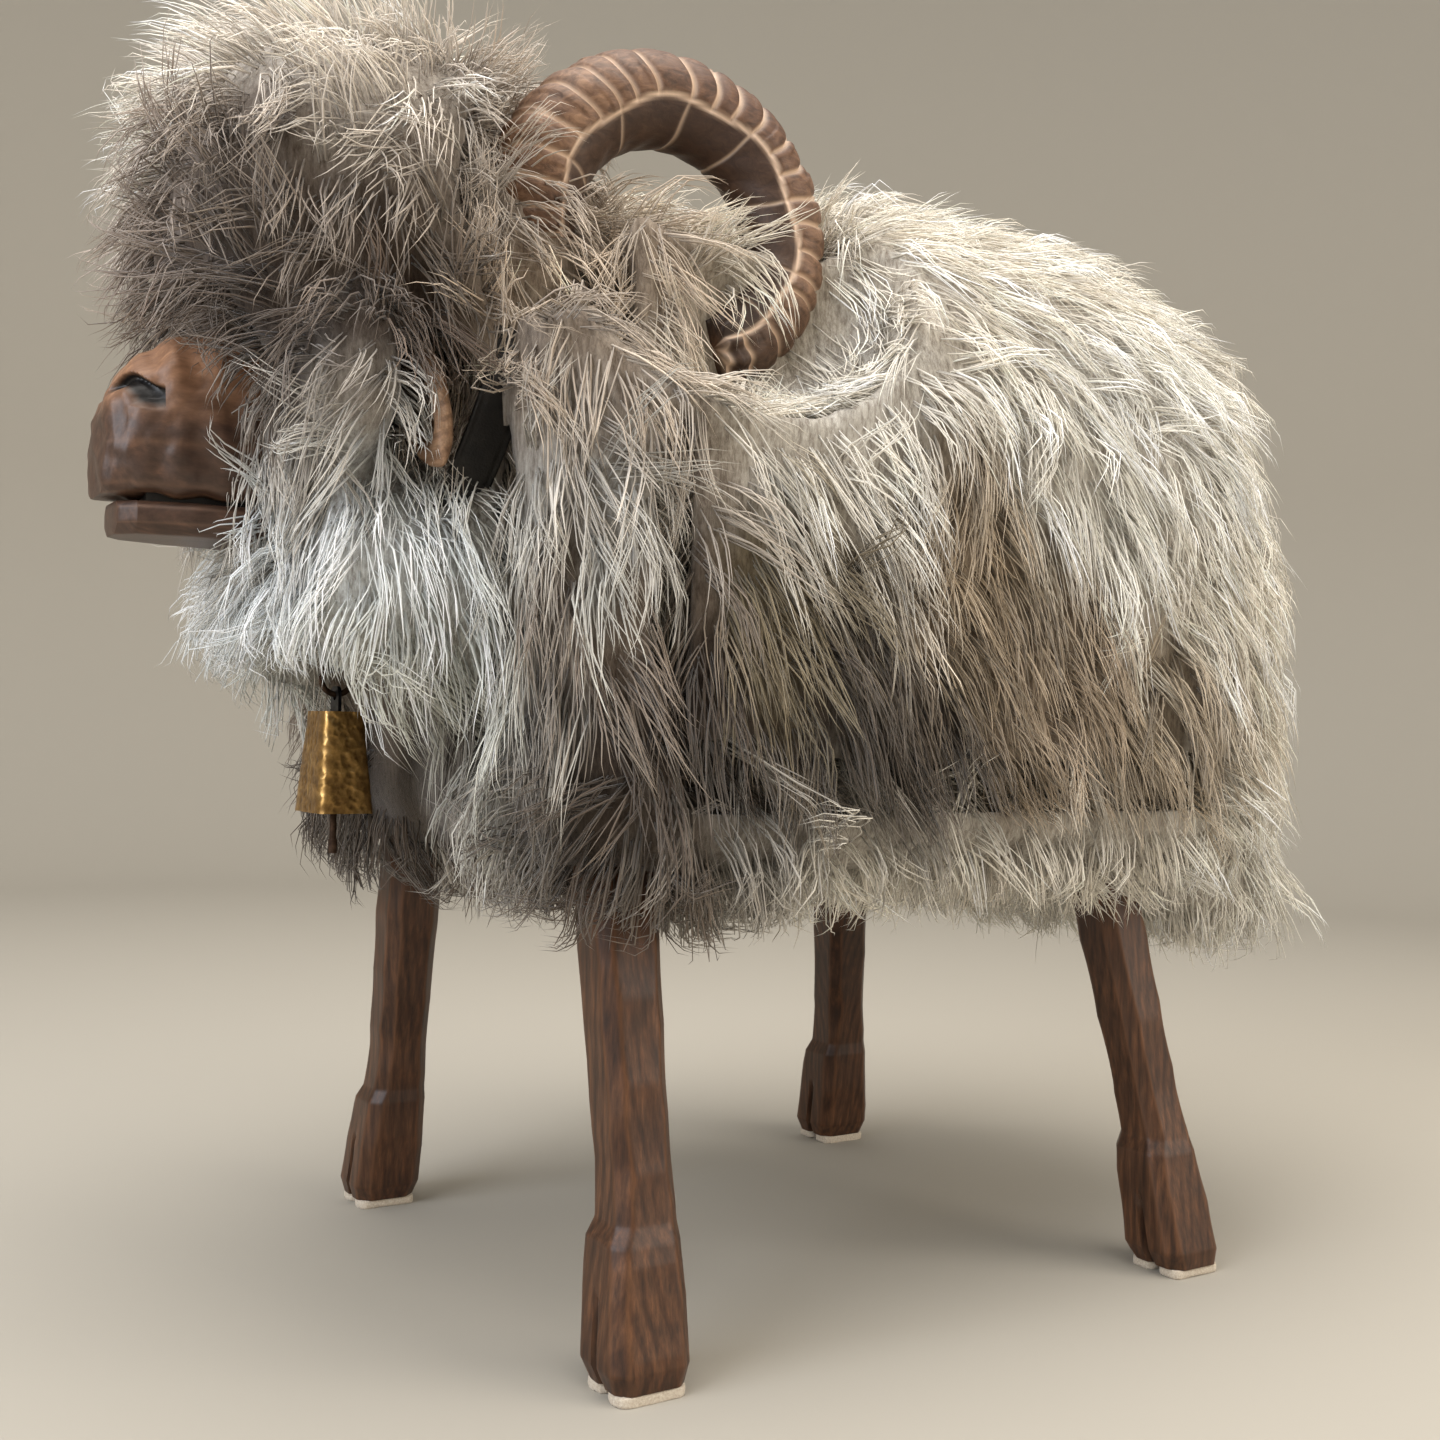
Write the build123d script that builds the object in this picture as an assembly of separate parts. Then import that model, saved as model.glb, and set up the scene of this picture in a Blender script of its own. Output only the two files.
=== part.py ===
from build123d import *
import os
from math import cos, pi, radians, sin

# A sheepskin-covered ram that stands on four carved pine legs: a stool and figure in one.
# Row frame, millimetres: -Y is the way the ram looks, +X is its left side, +Z is up, and the
# origin is on the floor under the middle of the whole figure.

# ---------------------------------------------------------------- driving sizes
reach = 358.0              # middle to nose, and middle to rump
fleece_half = 210.0        # middle to the outside of a flank's fleece
back_z = 611.0             # top of the back's fleece
belly_deep = 44.0          # the belly's fleece, measured down from the core
fleece_front_y = -215.0    # front of the shoulders' fleece
skirt_radius = 90.0        # rounding of the body's lower long edges
loin_radius = 185.0        # rounding of the body's upper long edges
rump_radius = 190.0        # rounding of the rump, seen from above
brisket_radius = 110.0     # rounding of the shoulders, seen from above
croup_radius = 170.0       # rounding from the back down to the rump, seen from the side
side_radius = 100.0        # the other three corners, seen from the side
seam_gap = 0.8             # free space between neighbouring skins
outline_play = 2.0         # how far an outline that only rounds corners stands outside the others

core_half = 166.0          # padded core under the fleece
core_front_y = -176.0
core_rear_y = 300.0
core_top_z = 573.0
core_under_base = 1.0      # the core's floor is this far under the base board
core_radii = (40.0, 125.0)         # the core's rounding from above, front and rear
core_edge_radii = (8.0, 100.0)     # and from the front, below and above
core_side_radii = (8.0, 110.0)     # and from the side, the croup's corner last
core_play = 0.6            # between the core and the skins round it
shoulder_seam_y = -60.0    # seam between shoulder skins and flank skins
back_seam_z = 520.0        # seam between flank skins and back skin
shoulder_top_z = 505.0
withers_half = 46.0        # tuft on the neck's back, between the horns
withers_front_y = -140.0
withers_low_z = 470.0
withers_top_z = 604.0
withers_radius = 30.0
back_front_y = -34.0       # front of the back skin, behind the horns
back_front_radius = 62.0
breech_set_back = 11.0     # belly skin to breech tuft seam, behind the rump's seam
breech_deep = 77.0         # the breech tuft, measured down from the core
breech_half = 165.0
breech_radius = 36.0
breech_short = 18.0        # how far the tuft stops before the rump's rear

board = 22.0               # pine boards of the frame
seat_board_thick = 18.0
base_z = 250.0             # underside of the base board, where the legs stop
base_half = 150.0
base_front_y = -172.0
base_rear_y = 290.0
base_radii = (30.0, 110.0)         # front and rear corners of the base board
front_bulkhead_y = -166.0  # front face of the front bulkhead
front_bulkhead_top = 455.0
seat_z = 540.0             # underside of the seat board
seat_half = 106.0
seat_rear_y = 226.0
seat_radii = (25.0, 70.0)
front_bulkhead_corner = 50.0
bulkhead_corner = 40.0
riser_y = 0.0              # front face of the riser
rear_bulkhead_y = 178.0    # front face of the rear bulkhead
spine_thick = 18.0
spine_top_z = 420.0
pad_gap = 0.3              # between a board and its padding
board_play = 4.0           # between a board and the flank padding behind it

# Each pair of legs: half the distance between the hooves, the hooves' y, and how far the leg
# runs in and forward for each millimetre that it rises.
leg_pairs = {"front": (167.0, -146.0, 0.167, 0.0), "rear": (166.0, 203.0, 0.182, -0.128)}
felt_thick = 5.0
felt_split = 4.0           # gap between the two felts of one hoof
felt_inset = 1.0
# Carved leg, from the felt up: height, half width, reach forward, reach back.
leg_sections = [
    (felt_thick, 18.5, 21.5, 15.5), (14.0, 21.5, 24.5, 17.5), (44.0, 20.5, 22.0, 18.0),
    (66.0, 19.0, 19.5, 18.0), (74.0, 17.0, 15.5, 17.5), (100.0, 16.0, 14.5, 17.0),
    (135.0, 16.5, 15.5, 16.5), (185.0, 17.0, 17.0, 17.0), (base_z, 17.5, 17.5, 17.5),
]
leg_chamfer = 6.5
cleft_depth = 7.0          # carved line between the two claws
cleft_width = 7.0
leg_bolt_radius = 5.0
leg_bolt_in_leg = 38.0
hole_play = 0.1            # radial clearance of every bolt and dowel hole
washer_radius = 14.0
washer_thick = 2.0
washer_room = 1.5          # between a washer and the bulkhead beside it
nut_room = 2.0             # over the end of a bolt
nut_half = 8.5
nut_thick = 8.0
bolt_over_nut = 5.0
screw_radius = 2.3
screw_head_radius = 4.6
screw_length = 50.0
screw_half = 75.0          # frame screws stand this far from the middle
neck_screw_drops = (46.0, 22.0)    # below the front bulkhead's top

# Collar plane: an oval loop round the neck, leaning forward at the bottom.
collar_y = -203.0
collar_z = 434.0
collar_lean = 20.0
neck_half_wide = 97.0
neck_half_tall = 102.0
strap_play = 1.0
strap_thick = 4.0
strap_width = 22.0
tunnel_play = 1.5          # between the strap's outside and the skins around it
buckle_half = (17.0, 14.0)
buckle_thick = 3.0
buckle_bar = 3.5
buckle_lift = 0.3          # a buckle or keeper stands this far off the strap
keeper_thick = 2.0
keeper_up = 24.0           # collar's middle to the keeper's lower edge
keeper_tall = 9.0

neck_post_wide = 50.0
neck_post_tall = 56.0
tenon_wide = 30.0
tenon_tall = 34.0
tenon_long = 38.0
neck_joint_s = 30.0        # along the neck, from the collar to the head block's back face
peg_radius = 5.0

block_half = 50.0
block_front_y = -286.0
block_top_z = 598.0
block_rear_y = -150.0
# Head block, from the muzzle's foot up over the brow and down the nape, as (y, z).
block_brow = [(block_front_y, 396.0), (block_front_y, 500.0), (-262.0, 572.0), (-215.0, block_top_z)]
block_nape = [(block_rear_y, block_top_z), (block_rear_y, 570.0), (-200.0, 528.0)]
block_neck_half = 42.0
block_chamfer = 6.0

crown_half = 118.0
crown_front_y = -352.0
crown_rear_y = -118.0
crown_top_z = 656.0
crown_floor_z = 430.0
crown_radius = 104.0
cheek_half = 96.0
cheek_front_y = -302.0
cheek_rear_y = -232.0
cheek_low_z = 386.0
cheek_high_z = 474.0
cheek_radius = 34.0
chest_half = 128.0
chest_front_y = -303.0
chest_low_z = 300.0
chest_high_z = 425.0
chest_radius = 56.0

# Carved muzzle: y, half widths at lip, cheek, brow and top, then heights of brow and top.
muzzle_sections = [
    (-reach, 17.0, 21.0, 17.0, 8.0, 442.0, 449.0),
    (-349.0, 26.0, 30.0, 26.0, 12.0, 452.0, 463.0),
    (-333.0, 31.0, 35.0, 31.0, 15.0, 461.0, 476.0),
    (-310.0, 34.0, 39.0, 35.0, 18.0, 466.0, 483.0),
    (block_front_y, 36.0, 41.0, 37.0, 20.0, 468.0, 486.0),
]
lip_z = 401.0              # underside of the upper lip
cheek_line_z = 424.0
jaw_top_z = 397.0
jaw_low_z = 383.0
jaw_sections = [(-351.0, 15.0), (-344.0, 24.0), (-320.0, 31.0), (block_front_y, 34.0)]
mouth_web_half = 12.0
mouth_web_front_y = -330.0
jaw_bevel = 5.0
nostril_radius = 11.0
nostril_groove = 3.4
nostril_place = (19.0, -349.0, 441.0)
nostril_facing = (0.62, -0.7, 0.35)
nostril_along = (0.75, 0.66, 0.0)
muzzle_play = 3.0          # between the muzzle and the skins round it
muzzle_room_top_z = 490.0
muzzle_dowel_radius = 6.0
muzzle_dowel_half = 24.0
muzzle_dowel_z = 438.0
muzzle_dowel_reach = 26.0  # into each of the two blocks

horn_y = -106.0            # middle of the horn's turn
horn_z = 551.0
horn_turn_radius = 65.0
horn_start = 195.0         # degrees round the turn, counted from the rear over the top
horn_end = -75.0
horn_stations = 19
horn_base_radius = 25.0
horn_tip_radius = 19.0
horn_in_x = 70.0
horn_out_x = 114.0
horn_dowel_radius = 6.0
horn_dowel_on = 28.0       # degrees round the turn from the horn's start to its dowel
horn_play = 3.0
horn_dowel_reach = (28.0, 30.0)    # in from and out of the head block's side

ear_root = (40.0, -226.0, 498.7)
ear_tip = (120.0, -233.0, 414.0)
# Share of the way from root to tip, half width, half thickness.
ear_sections = [(0.0, 9.0, 7.5), (0.18, 10.0, 8.0), (0.36, 15.0, 9.0),
                (0.6, 19.0, 9.5), (0.83, 15.0, 7.5), (1.0, 5.0, 3.5)]
ear_hollow_depth = 6.5
ear_hollow_half = (12.0, 29.0)     # across and along the ear
ear_dowel_radius = 4.0
ear_dowel_reach = (14.0, 30.0)     # into the head block and into the ear
ear_play = 2.0             # between an ear and the skins round it

ring_wire = 1.5            # radius of the ring's wire
ring_radius = 8.0
link_play = 0.08           # radial play of a link on the wire it hangs on
staple_drop = 9.0          # strap's outside to the staple's cross wire
staple_half = 7.0
bell_top_half = (16.0, 11.0)
bell_mouth_half = (22.5, 15.0)
bell_height = 51.0
bell_wall = 1.4
bell_corner = 5.0
tab_thick = 1.6
tab_half = 6.0
tab_rise = 8.0             # bell's top to the middle of the tab's hole
link_hole = 2.3
eye_drop = 7.0             # bell's top to the clapper's pivot
clapper_ring = 4.2
clapper_wire = 1.2
rod_radius = 1.7
rod_end_radius = 2.3
rod_end_long = 7.0
clapper_below = 21.0       # how far the clapper hangs out of the mouth
neck_half = 3.0            # half width of the tab's foot through the bell's top
tab_over_hole = 2.6
tab_corner = 4.0
eye_half = 4.5
eye_under_hole = 2.2
swing_half = 52.0          # room for the bell: to each side, behind and below it
swing_behind = 42.0
swing_below = 20.0
swing_over = 6.0
link_room = 16.0

# ---------------------------------------------------------------- sizes that follow from others
core_floor_z = base_z - core_under_base
belly_z = core_floor_z - belly_deep
breech_low_z = core_floor_z - breech_deep
rump_seam_y = rear_bulkhead_y + board     # seam between flank skins and rump skin
breech_seam_y = rump_seam_y + breech_set_back
bulkhead_half = min(half - run * base_z for half, _, run, _ in leg_pairs.values()) - washer_radius - washer_room

nodes = {}


# ---------------------------------------------------------------- helpers
def block(x0, x1, y0, y1, z0, z1):
    """Plain box between six planes."""
    place = Pos((x0 + x1) / 2, (y0 + y1) / 2, (z0 + z1) / 2)
    return place * Box(x1 - x0, y1 - y0, z1 - z0)


def pillow(x0, x1, y0, y1, z0, z1, radius):
    """Box whose twelve edges are rounded by one radius."""
    solid = block(x0, x1, y0, y1, z0, z1)
    return fillet(solid.edges(), radius)


def polygon_face(points):
    return Face(Wire.make_polygon([Vector(*p) for p in points], close=True))


def plate(points, half):
    """Outline in the YZ plane, given as (y, z), made 2 * half thick about x = 0."""
    face = polygon_face([(-half, y, z) for y, z in points])
    return extrude(face, amount=2 * half, dir=(1, 0, 0))


def grown_plate(points, half, play):
    """The same plate, larger by a play on every side."""
    face = polygon_face([(-half - play, y, z) for y, z in points])
    face = offset(face, amount=play, kind=Kind.INTERSECTION)
    return extrude(face, amount=2 * (half + play), dir=(1, 0, 0))


def mirrored(solid):
    return mirror(solid, about=Plane.YZ)


def rod(start, end, radius):
    """Round bar from one point to another."""
    a, b = Vector(*start), Vector(*end)
    direction = (b - a).normalized()
    return Plane(origin=a, z_dir=direction) * Cylinder(
        radius, (b - a).length, align=(Align.CENTER, Align.CENTER, Align.MIN))


def wood_screw(point, direction):
    """Countersunk screw whose head's face is at the point and whose shank runs along direction."""
    head = screw_head_radius - screw_radius
    low = (Align.CENTER, Align.CENTER, Align.MIN)
    body = Cylinder(screw_radius, screw_length, align=low)
    body += Cone(screw_head_radius, screw_radius, head, align=low)
    return Plane(origin=Vector(*point), z_dir=Vector(*direction)) * body


def keep_biggest(shape, count=1):
    """The largest solids of a cut shape, so that no sliver stays behind."""
    ordered = sorted(shape.solids(), key=lambda s: s.volume, reverse=True)
    return Compound(ordered[:count]) if count > 1 else ordered[0]


def rounded_plan(x_half, y0, y1, front_radius, rear_radius):
    """Rectangle in plan with its own rounding at the front and at the rear."""
    face = Pos(0, (y0 + y1) / 2) * Rectangle(2 * x_half, y1 - y0)
    widest = x_half - outline_play
    face = fillet(face.vertices().sort_by(Axis.Y)[-2:], min(rear_radius, widest))
    return fillet(face.vertices().sort_by(Axis.Y)[:2], min(front_radius, widest))


def rounded_front(x_half, z0, z1, low_radius, high_radius):
    """Rectangle seen from the front, with its own rounding below and above."""
    face = Pos(0, (z0 + z1) / 2) * Rectangle(2 * x_half, z1 - z0)
    widest = x_half - 2 * outline_play
    face = fillet(face.vertices().sort_by(Axis.Y)[-2:], min(high_radius, widest))
    return fillet(face.vertices().sort_by(Axis.Y)[:2], min(low_radius, widest))


def three_way(x_half, y0, y1, z0, z1, plan_radii, section_radii, side_radii):
    """Body that shows a rounded outline from above, from the front and from the side.

    The outline from above sets length and width, the one from the front sets height, and the
    one from the side stands a little outside both and only rounds the corners.
    """
    out = outline_play
    plan = extrude(Pos(0, 0, z0 - out) * rounded_plan(x_half, y0, y1, *plan_radii), amount=z1 - z0 + 2 * out)
    front = Plane(origin=(0, y0 - 2 * out, 0), x_dir=(1, 0, 0), z_dir=(0, -1, 0))
    section = extrude(front * rounded_front(x_half + out, z0, z1, *section_radii), amount=y0 - y1 - 4 * out)
    side = block(-x_half - 3 * out, x_half + 3 * out, y0 - out, y1 + out, z0 - out, z1 + out)
    corners = side.edges().filter_by(Axis.X).sort_by(Axis.Y)
    croup = corners[-2:].sort_by(Axis.Z)[-1:]
    side = fillet(croup, side_radii[1])
    others = [e for e in side.edges().filter_by(Axis.X)
              if min(abs(e.center().Y - y0 + out), abs(e.center().Y - y1 - out)) < 0.5 * out
              and min(abs(e.center().Z - z0 + out), abs(e.center().Z - z1 - out)) < 0.5 * out]
    side = fillet(others, side_radii[0])
    return plan & section & side


# ---------------------------------------------------------------- legs and felts
def leg_middle(pair, side, z):
    half_gap, hoof_y, run_in, run_back = leg_pairs[pair]
    return side * (half_gap - run_in * z), hoof_y + run_back * z


def leg_outline(pair, side, z, half, front, back, grow=0.0):
    """Chamfered rectangle round the leg's middle line at one height."""
    x, y = leg_middle(pair, side, z)
    w, f, b, c = half + grow, front + grow, back + grow, leg_chamfer
    corners = [(w - c, -f), (w, c - f), (w, b - c), (w - c, b),
               (c - w, b), (-w, b - c), (-w, c - f), (c - w, -f)]
    return polygon_face([(x + u, y + v, z) for u, v in corners])


def carved_leg(pair, side, grow=0.0):
    faces = [leg_outline(pair, side, *row, grow=grow) for row in leg_sections]
    solid = Solid.make_loft([f.outer_wire() for f in faces], ruled=True)
    if grow:
        return solid
    front = leg_sections[1][2]
    x, y = leg_middle(pair, side, felt_thick)
    cleft = polygon_face([(x - cleft_width / 2, y - front - 2, felt_thick - 1),
                          (x + cleft_width / 2, y - front - 2, felt_thick - 1),
                          (x, y - front + cleft_depth, felt_thick - 1)])
    top = leg_sections[3][0]
    solid -= extrude(cleft, amount=top - felt_thick, dir=(0, 0, 1))
    bolt_x, bolt_y = leg_middle(pair, side, base_z)
    solid -= rod((bolt_x, bolt_y, base_z - leg_bolt_in_leg - hole_play), (bolt_x, bolt_y, base_z + 1),
                 leg_bolt_radius + hole_play)
    return solid


def felt_pair(pair, side):
    """Two felts under one hoof, one for each claw."""
    _, half, front, back = leg_sections[0]
    x, y = leg_middle(pair, side, felt_thick)
    long = front + back - 2 * felt_inset
    wide = half - felt_inset - felt_split / 2
    felts = []
    for claw in (-1, 1):
        middle = x + claw * (felt_split / 2 + wide / 2)
        felt = Pos(middle, y + (back - front) / 2, 0) * RectangleRounded(wide, long, 5)
        felts.append(extrude(felt, amount=felt_thick).solids()[0])
    return Compound(felts)


leg_space = None
bolts, washers, nuts = [], [], []
for pair in leg_pairs:
    for side, name in ((1, "left"), (-1, "right")):
        nodes[f"{pair}_{name}_leg"] = carved_leg(pair, side)
        nodes[f"{pair}_{name}_felts"] = felt_pair(pair, side)
        space = carved_leg(pair, side, grow=2.0)
        leg_space = space if leg_space is None else leg_space + space
        x, y = leg_middle(pair, side, base_z)
        over = base_z + board
        low = (Align.CENTER, Align.CENTER, Align.MIN)
        bolts.append(rod((x, y, base_z - leg_bolt_in_leg),
                         (x, y, over + washer_thick + nut_thick + bolt_over_nut), leg_bolt_radius))
        bore = Cylinder(leg_bolt_radius + hole_play, 4 * nut_thick)
        washers.append(Pos(x, y, over) * (Cylinder(washer_radius, washer_thick, align=low) - bore))
        hexagon = extrude(RegularPolygon(nut_half, 6, major_radius=False), amount=nut_thick)
        nuts.append(Pos(x, y, over + washer_thick) * (hexagon - bore))

bolt_space = None
for bolt in bolts:
    grown = offset(bolt, hole_play)
    bolt_space = grown if bolt_space is None else bolt_space + grown
nodes["leg_bolts"] = Compound([b.solids()[0] for b in bolts])
nodes["leg_washers"] = Compound([w.solids()[0] for w in washers])
nodes["leg_nuts"] = Compound([n.solids()[0] for n in nuts])

# ---------------------------------------------------------------- wooden frame of the body
base_top = base_z + board
base = extrude(Pos(0, 0, base_z) * rounded_plan(base_half, base_front_y, base_rear_y, *base_radii), amount=board)


def upright(y, top_z, corner):
    """Board across the body, standing on the base board, with rounded top corners."""
    face = Pos(0, (base_top + top_z) / 2) * Rectangle(2 * bulkhead_half, top_z - base_top)
    face = fillet(face.vertices().sort_by(Axis.Y)[-2:], corner)
    stand = Plane(origin=(0, y, 0), x_dir=(1, 0, 0), z_dir=(0, -1, 0))
    return extrude(stand * face, amount=-board)


front_bulkhead = upright(front_bulkhead_y, front_bulkhead_top, front_bulkhead_corner)
riser = upright(riser_y, seat_z, bulkhead_corner)
rear_bulkhead = upright(rear_bulkhead_y, seat_z, bulkhead_corner)
front_spine = block(-spine_thick / 2, spine_thick / 2, front_bulkhead_y + board, riser_y, base_top, spine_top_z)
rear_spine = block(-spine_thick / 2, spine_thick / 2, riser_y + board, rear_bulkhead_y, base_top, spine_top_z)
seat = extrude(Pos(0, 0, seat_z) * rounded_plan(seat_half, riser_y, seat_rear_y, *seat_radii), amount=seat_board_thick)

frame_screws = []
for y in (front_bulkhead_y, riser_y, rear_bulkhead_y):
    for x in (-screw_half, screw_half):
        frame_screws.append(wood_screw((x, y + board / 2, base_z), (0, 0, 1)))
seat_screws = []
for y in (riser_y, rear_bulkhead_y):
    for x in (-screw_half, screw_half):
        seat_screws.append(wood_screw((x, y + board / 2, seat_z + seat_board_thick), (0, 0, -1)))


def screw_holes(screws):
    space = None
    for screw in screws:
        space = screw if space is None else space + screw
    return space


# ---------------------------------------------------------------- neck, head block and muzzle
lean = radians(collar_lean)
neck_axis = Vector(0, -cos(lean), sin(lean))
collar_up = Vector(0, sin(lean), cos(lean))
collar_middle = Vector(0, collar_y, collar_z)


def along_neck(s, up=0.0):
    """Point on the neck's middle line, s forward of the collar and up across it, as (y, z)."""
    p = collar_middle + neck_axis * s + collar_up * up
    return p.Y, p.Z


def neck_bar(wide, tall, s0, s1):
    return Plane(origin=collar_middle + neck_axis * s0, x_dir=(1, 0, 0), z_dir=neck_axis) * Box(
        wide, tall, s1 - s0, align=(Align.CENTER, Align.CENTER, Align.MIN))


def neck_oval(half_wide, half_tall, s0, s1):
    plane = Plane(origin=collar_middle + neck_axis * s0, x_dir=(1, 0, 0), z_dir=neck_axis)
    return extrude(plane * Ellipse(half_wide, half_tall), amount=s1 - s0)


behind_bulkhead = block(-300, 300, front_bulkhead_y, 600, 0, 900)
neck_post = neck_bar(neck_post_wide, neck_post_tall, -60, neck_joint_s) - behind_bulkhead
neck_post += neck_bar(tenon_wide, tenon_tall, neck_joint_s, neck_joint_s + tenon_long)
tenon_space = neck_bar(tenon_wide + 2 * hole_play, tenon_tall + 2 * hole_play,
                       neck_joint_s, neck_joint_s + tenon_long + hole_play)
peg_y, peg_z = along_neck(neck_joint_s + tenon_long / 2)
peg = rod((-block_half, peg_y, peg_z), (block_half, peg_y, peg_z), peg_radius)
peg_space = rod((-block_half - 1, peg_y, peg_z), (block_half + 1, peg_y, peg_z), peg_radius + hole_play)
neck_screws = []
for drop in neck_screw_drops:
    neck_screws.append(wood_screw((0, front_bulkhead_y + board, front_bulkhead_top - drop), (0, -1, 0)))
neck_screw_space = screw_holes(neck_screws)
neck_post = neck_post - peg_space - neck_screw_space

joint_high = along_neck(neck_joint_s, block_neck_half)
joint_low = along_neck(neck_joint_s, -block_neck_half)
block_points = block_brow + block_nape + [joint_high, joint_low]
head_block = plate(block_points, block_half)
head_block = chamfer(head_block.edges().filter_by(Axis.X).sort_by(Axis.Z)[-2:], block_chamfer)


def muzzle_face(y, lip, cheek, brow, top, brow_z, top_z):
    points = [(lip, lip_z), (cheek, cheek_line_z), (brow, brow_z), (top, top_z)]
    ring = [(x, y, z) for x, z in points] + [(-x, y, z) for x, z in reversed(points)]
    return polygon_face(ring)


def jaw_face(y, half):
    low = half - jaw_bevel
    ring = [(half, y, jaw_top_z), (low, y, jaw_low_z), (-low, y, jaw_low_z), (-half, y, jaw_top_z)]
    return polygon_face(ring)


muzzle = Solid.make_loft([muzzle_face(*row).outer_wire() for row in muzzle_sections], ruled=True)
muzzle += Solid.make_loft([jaw_face(*row).outer_wire() for row in jaw_sections], ruled=True)
muzzle += block(-mouth_web_half, mouth_web_half, mouth_web_front_y, block_front_y,
                (jaw_low_z + jaw_top_z) / 2, cheek_line_z)
for side in (-1, 1):
    place, facing, along = (Vector(v[0] * side, v[1], v[2]) for v in (nostril_place, nostril_facing, nostril_along))
    groove = Torus(nostril_radius, nostril_groove)
    upper = Pos(0, nostril_radius, 0) * Box(4 * nostril_radius, 2 * nostril_radius, 4 * nostril_groove)
    muzzle -= Plane(origin=place, x_dir=along, z_dir=facing) * (groove & upper)
muzzle = keep_biggest(muzzle)


def muzzle_dowel(side, play=0.0):
    x = side * muzzle_dowel_half
    reach_in = muzzle_dowel_reach + play
    return rod((x, block_front_y - reach_in, muzzle_dowel_z), (x, block_front_y + reach_in, muzzle_dowel_z),
               muzzle_dowel_radius + play)


# ---------------------------------------------------------------- horns and ears
def horn_section(step, steps, side):
    """Eight-sided section of the horn: its middle runs round a circle and drifts outwards."""
    t = step / (steps - 1)
    angle = radians(horn_start + (horn_end - horn_start) * t)
    radius = horn_base_radius - (horn_base_radius - horn_tip_radius) * t ** 2.2
    x = horn_in_x + (horn_out_x - horn_in_x) * t
    ring = []
    for k in range(8):
        a = 2 * pi * (k + 0.5) / 8
        r = horn_turn_radius + radius * cos(a)
        ring.append((side * (x + radius * sin(a)), horn_y + r * cos(angle), horn_z + r * sin(angle)))
    return polygon_face(ring).outer_wire()


def horn(side):
    wires = [horn_section(k, horn_stations, side) for k in range(horn_stations)]
    return Solid.make_loft(wires, ruled=True)


horn_dowel_y = horn_y + horn_turn_radius * cos(radians(horn_start - horn_dowel_on))
horn_dowel_z = horn_z + horn_turn_radius * sin(radians(horn_start - horn_dowel_on))


def horn_dowel(side, play=0.0):
    a, b = block_half - horn_dowel_reach[0] - play, block_half + horn_dowel_reach[1] + play
    return rod((side * a, horn_dowel_y, horn_dowel_z), (side * b, horn_dowel_y, horn_dowel_z),
               horn_dowel_radius + play)


def horn_space(side):
    """Round slot in the skins that the horn turns in, open towards the outside."""
    a, b = side * (block_half - 2), side * 400
    radius = horn_turn_radius + horn_base_radius + horn_play
    return rod((a, horn_y, horn_z), (b, horn_y, horn_z), radius)


def ear_frame(side):
    root = Vector(side * ear_root[0], ear_root[1], ear_root[2])
    tip = Vector(side * ear_tip[0], ear_tip[1], ear_tip[2])
    direction = (tip - root).normalized()
    across = Vector(0, -1, 0).cross(direction).normalized()
    return root, tip, direction, across


def ear_loft(side, grow=0.0, shift=0.0):
    """Leaf of eight-sided sections from the root to the tip; across is its width."""
    root, tip, direction, across = ear_frame(side)
    front = direction.cross(across).normalized()
    wires = []
    for t, half_w, half_t in ear_sections:
        middle = root + (tip - root) * t + front * shift
        ring = []
        for k in range(8):
            a = 2 * pi * (k + 0.5) / 8
            ring.append(middle + across * ((half_w + grow) * cos(a)) + front * ((half_t + grow) * sin(a)))
        wires.append(polygon_face([tuple(p) for p in ring]).outer_wire())
    return Solid.make_loft(wires, ruled=True)


def ear(side):
    """Leaf with a spoon-shaped hollow in the side that looks forward."""
    root, tip, direction, across = ear_frame(side)
    front = direction.cross(across).normalized()
    if front.Y > 0:
        front = front * -1
    middle = root + (tip - root) * ear_sections[3][0] + front * ear_sections[3][2]
    spoon = Plane(origin=middle, x_dir=across, z_dir=direction) * scale(
        Sphere(1), by=(ear_hollow_half[0], ear_hollow_depth, ear_hollow_half[1]))
    return keep_biggest(ear_loft(side) - spoon)


def ear_dowel(side, play=0.0):
    root, tip, direction, _ = ear_frame(side)
    a = root - direction * (ear_dowel_reach[0] + play)
    b = root + direction * (ear_dowel_reach[1] + play)
    return rod(tuple(a), tuple(b), ear_dowel_radius + play)


for side, name in ((1, "left"), (-1, "right")):
    inner = block(-block_half, block_half, -400, 100, 300, 800)
    nodes[f"{name}_horn"] = keep_biggest(horn(side) - inner - horn_dowel(side, hole_play))
    leaf = ear(side) - inner - ear_dowel(side, hole_play)
    nodes[f"{name}_ear"] = keep_biggest(leaf)
    head_block = head_block - horn_dowel(side, hole_play) - ear_dowel(side, hole_play)

for side in (1, -1):
    muzzle -= muzzle_dowel(side, hole_play)
    head_block -= muzzle_dowel(side, hole_play)
head_block = keep_biggest(head_block - tenon_space - peg_space)

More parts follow.
